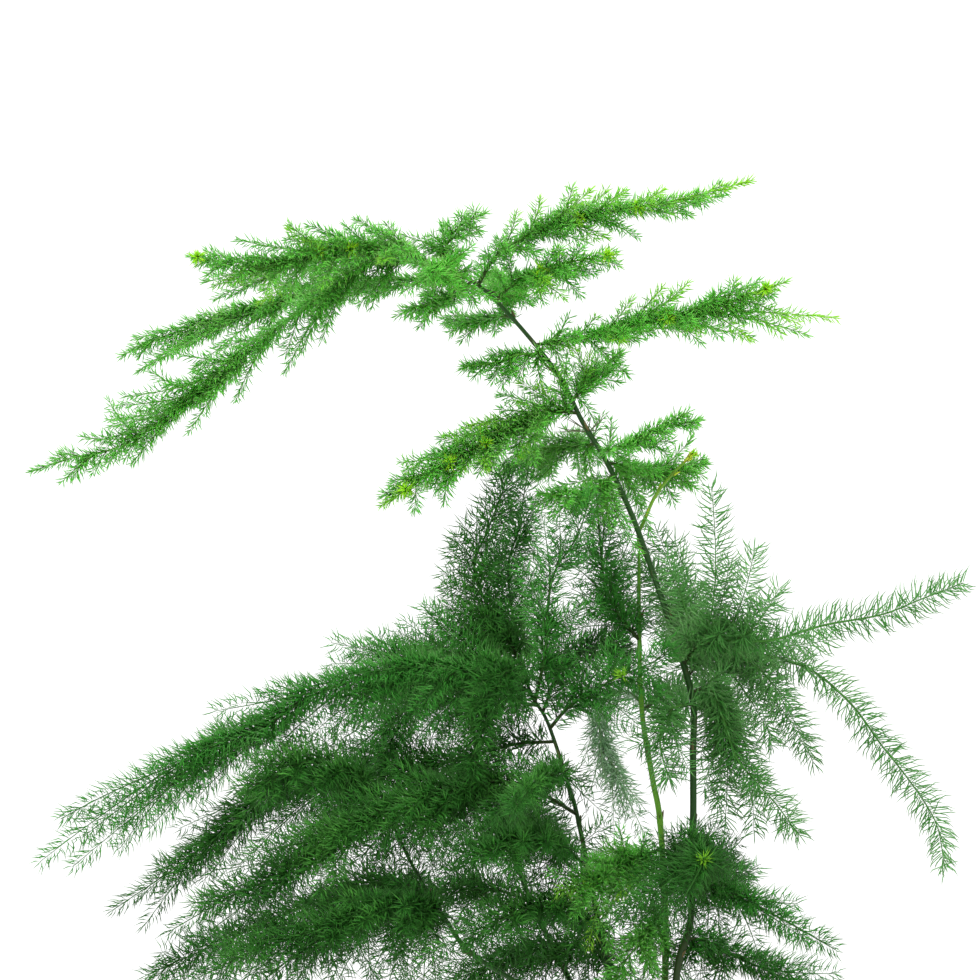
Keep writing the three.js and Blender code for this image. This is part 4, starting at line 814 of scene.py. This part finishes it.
def clay_finish(colours):
    """Earthenware, turned and fired without glaze: dry and matt, with turning lines every 1.6 mm or so, grit,
    cloudy tone and a pale lime bloom that gathers low down and under the band."""
    made, tree, shader = finish_named("Terracotta_turned_and_fired", {"IOR": 1.5})
    clouds = grain(tree, 26, detail=5)
    base = blended(tree, spread(tree, clouds, 0.35, 0.68), colours.clay, linear("#C67B52"))
    specks = spread(tree, grain(tree, 1.1, detail=6), 0.55, 0.75, 0, 0.5)
    base = blended(tree, specks, base, linear("#8E4529"))
    bloom = spread(tree, grain(tree, 9, detail=7, roughness=0.72), 0.53, 0.7, 0.0, 0.75)
    low = spread(tree, painted(tree, "along"), 0.0, 1.0, 0.25, 1.0)
    share = add(tree, "ShaderNodeMath", links={0: bloom, 1: low}, operation="MULTIPLY").outputs[0]
    base = blended(tree, share, base, colours.bloom)
    lines = grain(tree, 0.8, detail=2, stretch=(0.03, 0.03, 1))
    grit = grain(tree, 0.5, detail=3)
    height = add(tree, "ShaderNodeMath", {1: 0.6}, {0: grit}, operation="MULTIPLY").outputs[0]
    height = add(tree, "ShaderNodeMath", links={0: height, 1: lines}, operation="ADD").outputs[0]
    dress(tree, shader, base, spread(tree, clouds, 0.3, 0.7, 0.8, 0.93), height, 0.45, 0.4)
    return made


def soil_finish(colours):
    """Potting soil, milled peat and fine bark, damp: nearly black patches between lighter clods, brown crumbs
    and paler fibres.
    """
    made, tree, shader = finish_named("Potting_soil_peat_and_bark", {"Roughness": 0.92, "IOR": 1.4})
    clods = spread(tree, grain(tree, 1.4, detail=6), 0.35, 0.62)
    base = blended(tree, clods, linear("#150E0A"), colours.soil)
    base = blended(tree, spread(tree, painted(tree, "tone"), 0.45, 1.0, 0, 0.8), base, linear("#5A4330"))
    fibres = spread(tree, grain(tree, 0.5, detail=3, stretch=(1, 0.2, 0.2)), 0.66, 0.74, 0, 0.7)
    base = blended(tree, fibres, base, linear("#8A6B48"))
    dress(tree, shader, base, height=grain(tree, 0.7, detail=7), strength=0.8, depth=0.8)
    return made


# Stems


# How far a stem goes down in the soil, and how far a stem and the shoot stand straight up at their foot.
SUNK, STEM_FOOT, SHOOT_FOOT = 24, 7, 6.3
# The finishes of a stem or shoot in the order of its slots.
SCALES, NEEDLES, OLD = 1, 2, 3


def stem_knots(route):
    """A grown stem stands straight in the soil and just above it."""
    route = np.array(route, float)
    return np.vstack([route[0] - UP * SUNK, route[0], route[0] + UP * STEM_FOOT, route[1:]])


def shoot_knots():
    """The young shoot goes on from the end of the upright stem, straight up at first."""
    end = np.array(UPRIGHT_STEM["route"][-1], float)
    return np.vstack([end, end + UP * SHOOT_FOOT, np.array(SHOOT_ROUTE, float)])


def scale_leaves(path, radius, shares, length, width, rng):
    """Scale leaves: at each share a tube of leaf form, width sin(pi (0.12 + 0.86 s))^0.7, pressed to the stem
    and standing off at its tip by the square of s."""
    zero = np.zeros(len(shares), int)
    roots, ways = along_paths(path[None], zero, shares)
    side, rise = across(ways, UP)
    turn = np.radians(GOLDEN_TURN) * np.arange(len(shares))[:, None]
    out = np.cos(turn) * side + np.sin(turn) * rise
    s = np.linspace(0, 1, 7)
    lengths = length * rng.uniform(0.8, 1.2, len(shares))[:, None, None]
    step = s[None, :, None]
    stand_off = radius + 0.1 + 0.28 * lengths * step**2
    paths = roots[:, None] + ways[:, None] * lengths * step + out[:, None] * stand_off
    radii = np.broadcast_to(width * np.sin(np.pi * (0.12 + 0.86 * s)) ** 0.7, (len(shares), len(s)))
    return tubes(paths, radii, 6, tone=rng.uniform(0, 1, len(shares)), slot=SCALES)


def grow_stem(stem, seed):
    """Stem: a round tube with r = r0 (1.08 - 0.12 s - 0.46 s^2), a small swelling and a scale leaf at each
    joint, some 26 mm apart, and a round end."""
    rng = np.random.default_rng(seed)
    path, length = even(stem_knots(stem["route"]), 161)
    s = np.linspace(0, 1, len(path))
    joints = np.arange(SUNK + 14, length - 6, 26) / length
    swelling = np.exp(-(((s[:, None] - joints) * length / 1.4) ** 2)).sum(axis=1)
    radius = stem["radius"] * (1.08 - 0.12 * s - 0.46 * s**2) + 0.14 * swelling
    radius[-6:] *= np.sqrt(1 - np.linspace(0, 0.985, 6) ** 2)
    body = tubes(path[None], radius[None], 18)
    leaves = scale_leaves(path, stem["radius"] * 0.8, joints, 3.6, 0.55, rng)
    return path, joints, [body, leaves]


def loose_needles(path, share, count, length, thickness, rng, slot):
    """Loose needles that spread from one place of a stem: root in it, way at random but mostly level."""
    roots, ways = along_paths(path[None], np.zeros(count, int), np.full(count, share))
    turn = rng.uniform(0, 2 * np.pi, count)
    level = np.column_stack([np.cos(turn), 0.7 * np.sin(turn), rng.uniform(-0.2, 0.7, count)])
    ways = unit(level + 0.2 * ways)
    lengths = length * rng.uniform(0.6, 1.15, count)
    bend = rng.normal(0, 0.5, (count, 3)) * (0.14 * lengths)[:, None]
    return spindles(roots, ways, lengths, thickness, 2, bend, rng.uniform(0, 1, count), np.zeros(count), slot)


# Fronds

# How each kind of frond grows. "needle" is the length in millimetres, "thick" a share of the usual
# thickness and "finer" how much of it is lost at the twig's end. "lean" is the angle from the twig in
# degrees and "vary" by how much it differs. "dense" is needles to a millimetre of twig, "flat" how deep a
# spray is as a share of its width, "bow" how far a needle bows as a share of its length and "rings" its
# rings. For each side brush of the CAD model there are "brushes" here.
HABITS = {
    "fresh": {"needle": 5.7, "thick": 0.92, "finer": 0.1, "lean": 55, "vary": 18,
              "dense": 4.55, "flat": 0.7, "bow": 0.0, "rings": 0, "brushes": 6},
    "dark": {"needle": 8.8, "thick": 0.96, "finer": 0.2, "lean": 60, "vary": 16,
             "dense": 2.95, "flat": 0.5, "bow": 0.09, "rings": 1, "brushes": 6},
    "mesh": {"needle": 9.2, "thick": 0.94, "finer": 0.2, "lean": 64, "vary": 17,
             "dense": 3.8, "flat": 0.5, "bow": 0.11, "rings": 1, "brushes": 2},
    "thin": {"needle": 10.6, "thick": 1.05, "finer": 0.1, "lean": 62, "vary": 17,
             "dense": 4.0, "flat": 0.45, "bow": 0.11, "rings": 2, "brushes": 1},
    "pale": {"needle": 7.2, "thick": 0.9, "finer": 0.2, "lean": 58, "vary": 16,
             "dense": 3.6, "flat": 0.6, "bow": 0.1, "rings": 1, "brushes": 2},
    "lobe": {"needle": 6.6, "thick": 0.95, "finer": 0.1, "lean": 54, "vary": 16,
             "dense": 4.0, "flat": 0.8, "bow": 0.08, "rings": 1, "brushes": 6},
}
# The finish of a frond's twigs in the order of its slots.
TWIG = 1
# How far a share is moved to find which way a curve runs there.
NUDGE = 1e-3


def frond_axis(frond, stems):
    """The main twig's knots, from the middle of its stem at the place nearest to its first point."""
    knots = np.array(frond["axis"], float)
    bearer = stems[frond["stem"]]
    root = bearer[np.argmin(np.linalg.norm(bearer - knots[0], axis=1))]
    return np.vstack([root, knots[1:]])


def brush_paths(frond, knots, seed, each, steps=7):
    """Side brushes: point + way L s - up 0.14 L s^2, with way = cos lean along + sin lean (cos angle side +
    sin angle rise), and L shorter to the tip of the frond. One in `each` is one of the CAD model's. The
    others lean more to the tip and turn more freely."""
    sides, reach, roll = frond["fan"]
    index = np.arange(each * (sides - 1) + 1)
    group, rest = index // each, index % each
    seeds = group + 200 * rest
    own = rest == 0
    u = index / (each * (sides - 1))
    t = 0.1 + (frond["until"] - 0.1) * u
    points = curve(knots, t)
    along = unit(curve(knots, t + NUDGE) - curve(knots, t - NUDGE))
    overall = unit(knots[-1] - knots[0])
    guide = UP if abs(overall[2]) < 0.8 else FRONT
    side = unit(np.cross(along, guide))
    rise = np.cross(side, along)
    turned_by = roll + frond["turn"] * (group + rest)
    angle = np.radians(turned_by + (draw(seed, seeds) - 0.5) * np.where(own, 36, 110))
    lean = np.radians(np.where(own, 50, 36) + (draw(seed, seeds + 50) - 0.5) * np.where(own, 18, 36))
    lengths = reach * (1 - 0.6 * u) * (0.85 + 0.3 * draw(seed, seeds + 100)) * np.where(own, 1, 1.15)
    out = np.cos(angle)[:, None] * side + np.sin(angle)[:, None] * rise
    ways = np.cos(lean)[:, None] * along + np.sin(lean)[:, None] * out
    s = np.linspace(0, 1, steps)[None, :, None]
    span = lengths[:, None, None]
    return points[:, None] + ways[:, None] * span * s - UP * 0.14 * span * s**2


def plume_paths(frond, knots, steps=15):
    """Plumes: a parabola from the main twig, first along it for 0.3 of the way, then over to its own tip."""
    if not frond["plumes"]:
        return np.zeros((0, steps, 3))
    plumes = np.array(frond["plumes"], float)
    starts, tips = plumes[:, 0], plumes[:, 1:]
    roots = curve(knots, starts)
    along = unit(curve(knots, starts + NUDGE) - curve(knots, starts - NUDGE))
    knees = roots + along * 0.3 * np.linalg.norm(tips - roots, axis=1)[:, None]
    s = np.linspace(0, 1, steps)[None, :, None]
    return (1 - s) ** 2 * roots[:, None] + 2 * s * (1 - s) * knees[:, None] + s**2 * tips[:, None]


def needles_on(paths, young, habit, faces, thickness, bare, shade, rng):
    """Needles along twigs: at random places, the next turned by 137.5 degrees, at lean from the twig, bowed
    outwards in a flattened spray that faces one way. The last ones close over the tip."""
    lengths = path_lengths(paths)
    counts = np.maximum(((lengths - bare) * habit["dense"]).astype(int), 4)
    which = np.repeat(np.arange(len(paths)), counts)
    order = np.arange(len(which)) - np.repeat(np.cumsum(counts) - counts, counts)
    total = len(which)
    place = bare + (order + rng.uniform(0.5, 2.5, total)) / habit["dense"]
    shares = np.minimum(place / lengths[which], 1.0)
    roots, ways = along_paths(paths, which, shares)
    side, rise = across(ways, faces)
    turn = order * np.radians(GOLDEN_TURN) + rng.normal(0, 0.3, total)
    out = unit(np.cos(turn)[:, None] * side + habit["flat"] * np.sin(turn)[:, None] * rise)
    closing = np.clip((shares - 0.85) / 0.15, 0, 1)
    lean = np.radians(habit["lean"] + rng.normal(0, habit["vary"], total) - 22 * closing)[:, None]
    aim = unit(np.cos(lean) * ways + np.sin(lean) * out)
    size = habit["needle"] * rng.uniform(0.7, 1.08, total) * (1 - 0.3 * closing)
    outer = np.cos(lean) * out - np.sin(lean) * ways
    bend = (outer + rng.normal(0, 0.35, (total, 3))) * (habit["bow"] * size)[:, None]
    fresh = young[which] * shares**2
    # Tone: each needle's own at random, plus painted light that makes needles pointing up lighter, less the
    # frond's painted shade.
    tone = np.clip(rng.normal(0.5, 0.14, total) + 0.1 * aim[:, 2] - shade, 0, 1)
    finer = thickness * (1 - habit["finer"] * shares[:, None, None])
    return spindles(roots, aim, size, finer, habit["rings"], bend, tone, fresh)


def tuft(centre, rng, thickness):
    """Young tuft: needles that spread over the half ball that faces the front, from one point."""
    count = 34
    ways = unit(rng.normal(0, 1, (count, 3)) + FRONT * 0.9 + UP * 0.25)
    lengths = 5.0 * rng.uniform(0.6, 1.1, count)
    roots = np.repeat((centre + FRONT * 3.4)[None], count, axis=0)
    ones = np.ones(count)
    return spindles(roots, ways, lengths, thickness * 1.2, 1, 0, ones * 0.8, ones)


def grow_frond(frond, seed, stems, sizes):
    """A frond: main twig, plumes and side brushes, with needles on them, and young tufts in front."""
    rng = np.random.default_rng(1000 + seed)
    habit = HABITS[frond["kind"]]
    faces = UP if frond["kind"] == "fresh" else FRONT
    thick = sizes.needle_thickness / MM * habit["thick"]
    twig, brush_twig = sizes.main_twig / MM, sizes.side_twig / MM
    knots = frond_axis(frond, stems)
    main = even(knots, 41)[0][None]
    plumes = plume_paths(frond, knots)
    brushes = brush_paths(frond, knots, seed, habit["brushes"])

    def ends_young(paths, share):
        count = len(paths)
        return np.where(rng.random(count) < frond["young"] * share, rng.uniform(0.35, 0.9, count), 0.0)

    # Twigs of a kind, their radius at the root, sides, the bare stretch at the root, and how young they end.
    groups = [
        (main, twig, 6, 1.5, ends_young(main, 1.0)),
        (plumes, twig * 0.62, 5, 1.5, ends_young(plumes, 1.0)),
        (brushes, brush_twig, 3, 1.2, ends_young(brushes, 0.4)),
    ]
    surfaces = []
    for paths, radius, ring, bare, young in groups:
        if not len(paths):
            continue
        s = np.linspace(0, 1, paths.shape[1])
        radii = np.broadcast_to(radius * (1 - 0.75 * s), paths.shape[:2])
        surfaces.append(tubes(paths, radii, ring, tone=rng.random(len(paths)), young=young, slot=TWIG))
        surfaces.append(needles_on(paths, young, habit, faces, thick, bare, frond["shade"], rng))
    for share in frond["tufts"]:
        surfaces.append(tuft(curve(knots, [share])[0], rng, thick))
    return surfaces


# Operators


class FERN_OT_stage(bpy.types.Operator):
    """Adds the floor, the soft studio light and the camera"""

    bl_idname = "fern.stage"
    bl_label = "Stage"

    def execute(self, context):
        """Camera 2 m in front, level with the middle of the picture."""
        scene = context.scene
        floor_radius = 1250
        points, triangles = turned([(0, 0), (floor_radius, 0)], 160)
        mesh = bpy.data.meshes.new("floor")
        mesh.from_pydata((points * MM).tolist(), [], triangles[:, ::-1].tolist())
        floor = bpy.data.objects.new("floor", mesh)
        scene.collection.objects.link(floor)
        made, tree, shader = finish_named("Matt_floor_paint_rolled", {"Roughness": 0.9})
        tint = spread(tree, grain(tree, 60), 0.3, 0.7)
        dress(tree, shader, blended(tree, tint, scene.fern_colours.floor, linear("#F2F2F0")))
        mesh.materials.append(made)

        world = bpy.data.worlds.new("white_studio")
        world.use_nodes = True
        background = world.node_tree.nodes["Background"]
        background.inputs["Color"].default_value = (1.0, 1.0, 1.0, 1.0)
        background.inputs["Strength"].default_value = 1.2
        scene.world = world
        scene.view_settings.view_transform = "Standard"

        aim = Vector((0.0, 0.0, 0.25))
        for name, place, watts in (
            ("key_light", Vector((-0.9, -1.5, 2.1)), 34.0),
            ("top_light", Vector((0.5, 0.6, 2.2)), 12.0),
        ):
            lamp = bpy.data.lights.new(name, "AREA")
            lamp.size = 1.2
            lamp.energy = watts
            lit = bpy.data.objects.new(name, lamp)
            lit.location = place
            lit.rotation_euler = (aim - place).to_track_quat("-Z", "Y").to_euler()
            scene.collection.objects.link(lit)

        camera = bpy.data.cameras.new("camera")
        camera.sensor_width = 36
        camera.lens = camera.sensor_width * -CAMERA_PLACE[1] / (PICTURE_SIDE * POINT)
        camera.clip_end = 100
        shot = bpy.data.objects.new("camera", camera)
        shot.location = Vector(CAMERA_PLACE) * MM
        shot.rotation_euler = (np.pi / 2, 0, 0)
        scene.collection.objects.link(shot)
        scene.camera = shot
        return {"FINISHED"}


class FERN_OT_pot(bpy.types.Operator):
    """Adds the clay pot"""

    bl_idname = "fern.pot"
    bl_label = "Clay pot"

    def execute(self, context):
        """Turned wall with soft corners and ripples of 0.15 (sin(1.26 z) - 1) mm, and four drain holes."""
        sizes, colours = context.scene.fern_sizes, context.scene.fern_colours
        height, neck, shoulder = sizes.pot_height / MM, sizes.neck_radius / MM, sizes.neck_height / MM
        foot, band, wall = sizes.foot_radius / MM, sizes.band_radius / MM, sizes.wall / MM
        corners = [(0, 0), (foot, 0), (neck, shoulder), (band, shoulder + 2), (band + 1, height),
                   (band - wall, height), (neck - wall, shoulder), (foot - wall, POT_FLOOR), (0, POT_FLOOR)]
        corner_radii = [1.6, 1.2, 1.4, 1.6, 1.8, 3, 3]
        profile = rounded(corners, corner_radii)
        step = 1.5
        steps = np.maximum((np.linalg.norm(np.diff(profile, axis=0), axis=1) / step).astype(int), 1)
        fine = [a + (b - a) * np.linspace(0, 1, n, endpoint=False)[:, None]
                for a, b, n in zip(profile, profile[1:], steps)]
        profile = np.vstack(fine + [profile[-1:]])
        ripple = 0.15 * (np.sin(1.26 * profile[:, 1]) - 1) * (profile[:, 0] > foot) * (profile[:, 1] > 3)
        profile[:, 0] += ripple * (np.abs(profile[:, 1] - height) > 3)
        profile = [(0.0, z) if r < 1e-6 else (r, z) for r, z in profile.tolist()]
        points, triangles = turned(profile, 96)
        low = 1 - np.clip(points[:, 2] / height, 0, 1) ** 0.6
        piece = make_piece("clay_pot", [surface(points, triangles, along=low)], [clay_finish(colours)],
                           ["pot"])
        hole_radius, hole_place, low_end, high_end = 4.5, 22, -4, POT_FLOOR + 4
        for i in range(4):
            turn = (i + 0.5) * np.pi / 2
            ends = [(0, low_end), (hole_radius, low_end), (hole_radius, high_end), (0, high_end)]
            hole, faces = turned(ends, 32)
            hole[:, :2] += hole_place * np.array([np.cos(turn), np.sin(turn)])
            mesh = bpy.data.meshes.new("hole")
            mesh.from_pydata((hole * MM).tolist(), [], faces.tolist())
            cutter = bpy.data.objects.new("hole", mesh)
            context.scene.collection.objects.link(cutter)
            cut = piece.modifiers.new("hole", "BOOLEAN")
            cut.operation = "DIFFERENCE"
            cut.object = cutter
            with context.temp_override(object=piece, active_object=piece):
                bpy.ops.object.modifier_apply(modifier=cut.name)
            bpy.data.objects.remove(cutter)
        return {"FINISHED"}


class FERN_OT_soil(bpy.types.Operator):
    """Adds the potting soil"""

    bl_idname = "fern.soil"
    bl_label = "Potting soil"

    def execute(self, context):
        """Turned body whose top is a low dome with lumps, a sum of sine waves in x and y of 3 to 20 mm, a
        small mound round each stem, and crumbs: balls whose 12 corners are pushed in and out at random."""
        sizes, colours = context.scene.fern_sizes, context.scene.fern_colours
        rng = np.random.default_rng(7)
        level, height, shoulder = sizes.soil_height / MM, sizes.pot_height / MM, sizes.neck_height / MM
        foot, neck, wall = sizes.foot_radius / MM, sizes.neck_radius / MM, sizes.wall / MM
        band = sizes.band_radius / MM
        rise = (level - shoulder) / (height - shoulder)
        gap, dome = 0.5, 2
        edge = (neck + (band - neck) * rise) - wall - gap
        rings = np.linspace(edge, 0.6, 60)
        under = POT_FLOOR + gap
        skirt = [(0, under), (foot - wall - gap, under), (neck - wall - 0.6, shoulder), (edge, level - 1.5)]
        points, triangles = turned(skirt + [(r, level) for r in rings] + [(0, level)], 170)
        top = points[:, 2] > level - 1
        x, y = points[:, 0], points[:, 1]
        away = np.hypot(x, y) / edge
        stems = np.array([one["route"][0] for one in STEMS], float)
        apart = (x[:, None] - stems[:, 0]) ** 2 + (y[:, None] - stems[:, 1]) ** 2
        mounds = 0.9 * np.exp(-apart / 30).sum(axis=1)

        def lumps(px, py):
            """Height of the lumps at these places, from waves of four lengths and heights, three of each."""
            waves = np.random.default_rng(11)
            total = np.zeros_like(px)
            for wave, tall in ((0.31, 0.7), (0.62, 0.35), (1.2, 0.25), (2.1, 0.18)):
                for _ in range(3):
                    turn, start = waves.uniform(0, 2 * np.pi, 2)
                    total += tall * 0.5 * np.sin(wave * (px * np.cos(turn) + py * np.sin(turn)) + start)
            return total

        fade = np.clip((1 - away) * 8, 0.1, 1)
        points[:, 2] += top * (dome * (1 - away**2) + lumps(x, y) * fade + mounds)
        ground = surface(points, triangles, tone=0.3)

        count = sizes.crumbs
        ball, ball_faces = turned([(0, -1)] + [(np.cos(a), np.sin(a)) for a in (-0.5, 0.5)] + [(0, 1)], 5)
        far = (edge - 2.5) * np.sqrt(rng.random(count))
        turn = rng.uniform(0, 2 * np.pi, count)
        big = 0.5 + 1.1 * rng.random(count) ** 3
        centre = np.column_stack([far * np.cos(turn), far * np.sin(turn), np.zeros(count)])
        centre[:, 2] = level + dome * (1 - (far / edge) ** 2) + lumps(centre[:, 0], centre[:, 1]) + 0.1 * big
        rough = ball[None] * rng.uniform(0.65, 1.25, (count, len(ball), 1))
        rough = rough * rng.uniform(0.7, 1.2, (count, 1, 3))
        crumbs = (centre[:, None] + rough * big[:, None, None]).reshape(-1, 3)
        faces = (ball_faces[None] + (np.arange(count) * len(ball))[:, None, None]).reshape(-1, 3)
        tone = np.repeat(rng.random(count), len(ball))
        make_piece("potting_soil", [ground, surface(crumbs, faces, tone=tone)], [soil_finish(colours)],
                   ["soil"])
        return {"FINISHED"}


class FERN_OT_stems(bpy.types.Operator):
    """Adds the five grown stems"""

    bl_idname = "fern.stems"
    bl_label = "Stems"

    def execute(self, context):
        colours = context.scene.fern_colours
        bark = stem_finish("Green_bark_ridged", colours.stem, linear("#1F4614"), linear("#33351A"))
        olive = stem_finish("Green_bark_olive", linear("#629A28"), linear("#467C26"), linear("#5A7226"))
        scales = stem_finish("Dry_scale_leaf", linear("#6B5A35"), linear("#4E4A2B"), linear("#5A4A30"))
        needles = needle_finish("dark")
        old = stem_finish("Old_needles_dry", linear("#5F6B4C"), linear("#7C8468"), linear("#5F6B4C"))
        for seed, one in enumerate(STEMS):
            rng = np.random.default_rng(500 + seed)
            path, joints, surfaces = grow_stem(one, seed)
            for share in joints[1:]:
                surfaces.append(loose_needles(path, share, 3, 6.5, 0.36, rng, NEEDLES))
            if one["name"] == "arching":
                near = np.argmin(np.linalg.norm(path - LONG_NEEDLES_AT, axis=1)) / (len(path) - 1)
                surfaces.append(loose_needles(path, near, 9, 13.0, 0.5, rng, OLD))
            skin = olive if one is UPRIGHT_STEM else bark
            make_piece(one["name"] + "_stem", surfaces, [skin, scales, needles, old],
                       ["stem_" + one["name"]])
        return {"FINISHED"}


class FERN_OT_shoot(bpy.types.Operator):
    """Adds the young shoot and its bud"""

    bl_idname = "fern.shoot"
    bl_label = "Young shoot"

    def execute(self, context):
        """Shoot: a tube, r = 0.78 to 0.52 mm. Its bud is scale leaves that open round its tip, and a tuft."""
        sizes, colours = context.scene.fern_sizes, context.scene.fern_colours
        rng = np.random.default_rng(77)
        path, _ = even(shoot_knots(), 49)
        s = np.linspace(0, 1, len(path))
        radius = 0.78 - 0.26 * s
        radius[-4:] *= np.sqrt(1 - np.linspace(0, 0.98, 4) ** 2)
        body = tubes(path[None], radius[None], 16)
        low = scale_leaves(path, 0.75, np.array([0.3, 0.55, 0.75]), 3.4, 0.4, rng)
        bud = scale_leaves(path, 0.4, np.linspace(0.9, 0.99, 8), 2.8, 0.5, rng)
        count, thick = 18, sizes.needle_thickness / MM * 1.2
        ones = np.ones(count)
        ways = unit(rng.normal(0, 0.8, (count, 3)) + unit(path[-1] - path[-5]) * 0.9)
        roots = np.repeat(path[-1:], count, axis=0)
        lengths = 3.4 * rng.uniform(0.6, 1.1, count)
        crown = spindles(roots, ways, lengths, thick, 1, 0, ones * 0.7, ones, NEEDLES)
        skin = stem_finish("Young_shoot_skin", colours.shoot, linear("#6F9F2A"), linear("#2F6420"))
        scales = stem_finish("Young_scale_leaf", linear("#C3CF3A"), linear("#A9C22E"), linear("#8FA83A"))
        make_piece("shoot_with_bud", [body, low, bud, crown], [skin, scales, needle_finish("fresh")],
                   ["young_shoot"])
        return {"FINISHED"}


class FERN_OT_fronds(bpy.types.Operator):
    """Adds the feathery fronds, each as one piece"""

    bl_idname = "fern.fronds"
    bl_label = "Fronds"

    def execute(self, context):
        sizes = context.scene.fern_sizes
        stems = {one["name"]: even(stem_knots(one["route"]), 401)[0] for one in STEMS}
        finishes = {kind: [needle_finish(kind), twig_finish(kind)] for kind in HABITS}
        for seed, one in enumerate(FRONDS, start=1):
            surfaces = grow_frond(one, seed, stems, sizes)
            name, kind = one["name"], one["kind"]
            make_piece(name + "_frond", surfaces, finishes[kind], ["frond_" + name])
        return {"FINISHED"}


class FERN_PT_panel(bpy.types.Panel):
    """Lists the pieces in the order in which they are made"""

    bl_idname = "FERN_PT_panel"
    bl_label = "Asparagus fern"
    bl_space_type = "VIEW_3D"
    bl_region_type = "UI"
    bl_category = "Fern"

    def draw(self, context):
        for group in (context.scene.fern_sizes, context.scene.fern_colours):
            for name in group.bl_rna.properties.keys():
                if name not in ("rna_type", "name"):
                    self.layout.prop(group, name)
        for operator in OPERATORS:
            self.layout.operator(operator.bl_idname)


OPERATORS = (FERN_OT_stage, FERN_OT_pot, FERN_OT_soil, FERN_OT_stems, FERN_OT_shoot, FERN_OT_fronds)
CLASSES = (FernSizes, FernColours) + OPERATORS + (FERN_PT_panel,)


def register():
    for one in CLASSES:
        bpy.utils.register_class(one)
    bpy.types.Scene.fern_sizes = bpy.props.PointerProperty(type=FernSizes)
    bpy.types.Scene.fern_colours = bpy.props.PointerProperty(type=FernColours)


def unregister():
    del bpy.types.Scene.fern_colours
    del bpy.types.Scene.fern_sizes
    for one in reversed(CLASSES):
        bpy.utils.unregister_class(one)


def main():
    register()
    bpy.ops.fern.stage()
    bpy.ops.fern.pot()
    bpy.ops.fern.soil()
    bpy.ops.fern.stems()
    bpy.ops.fern.shoot()
    bpy.ops.fern.fronds()
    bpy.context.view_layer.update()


if __name__ == "__main__":
    main()
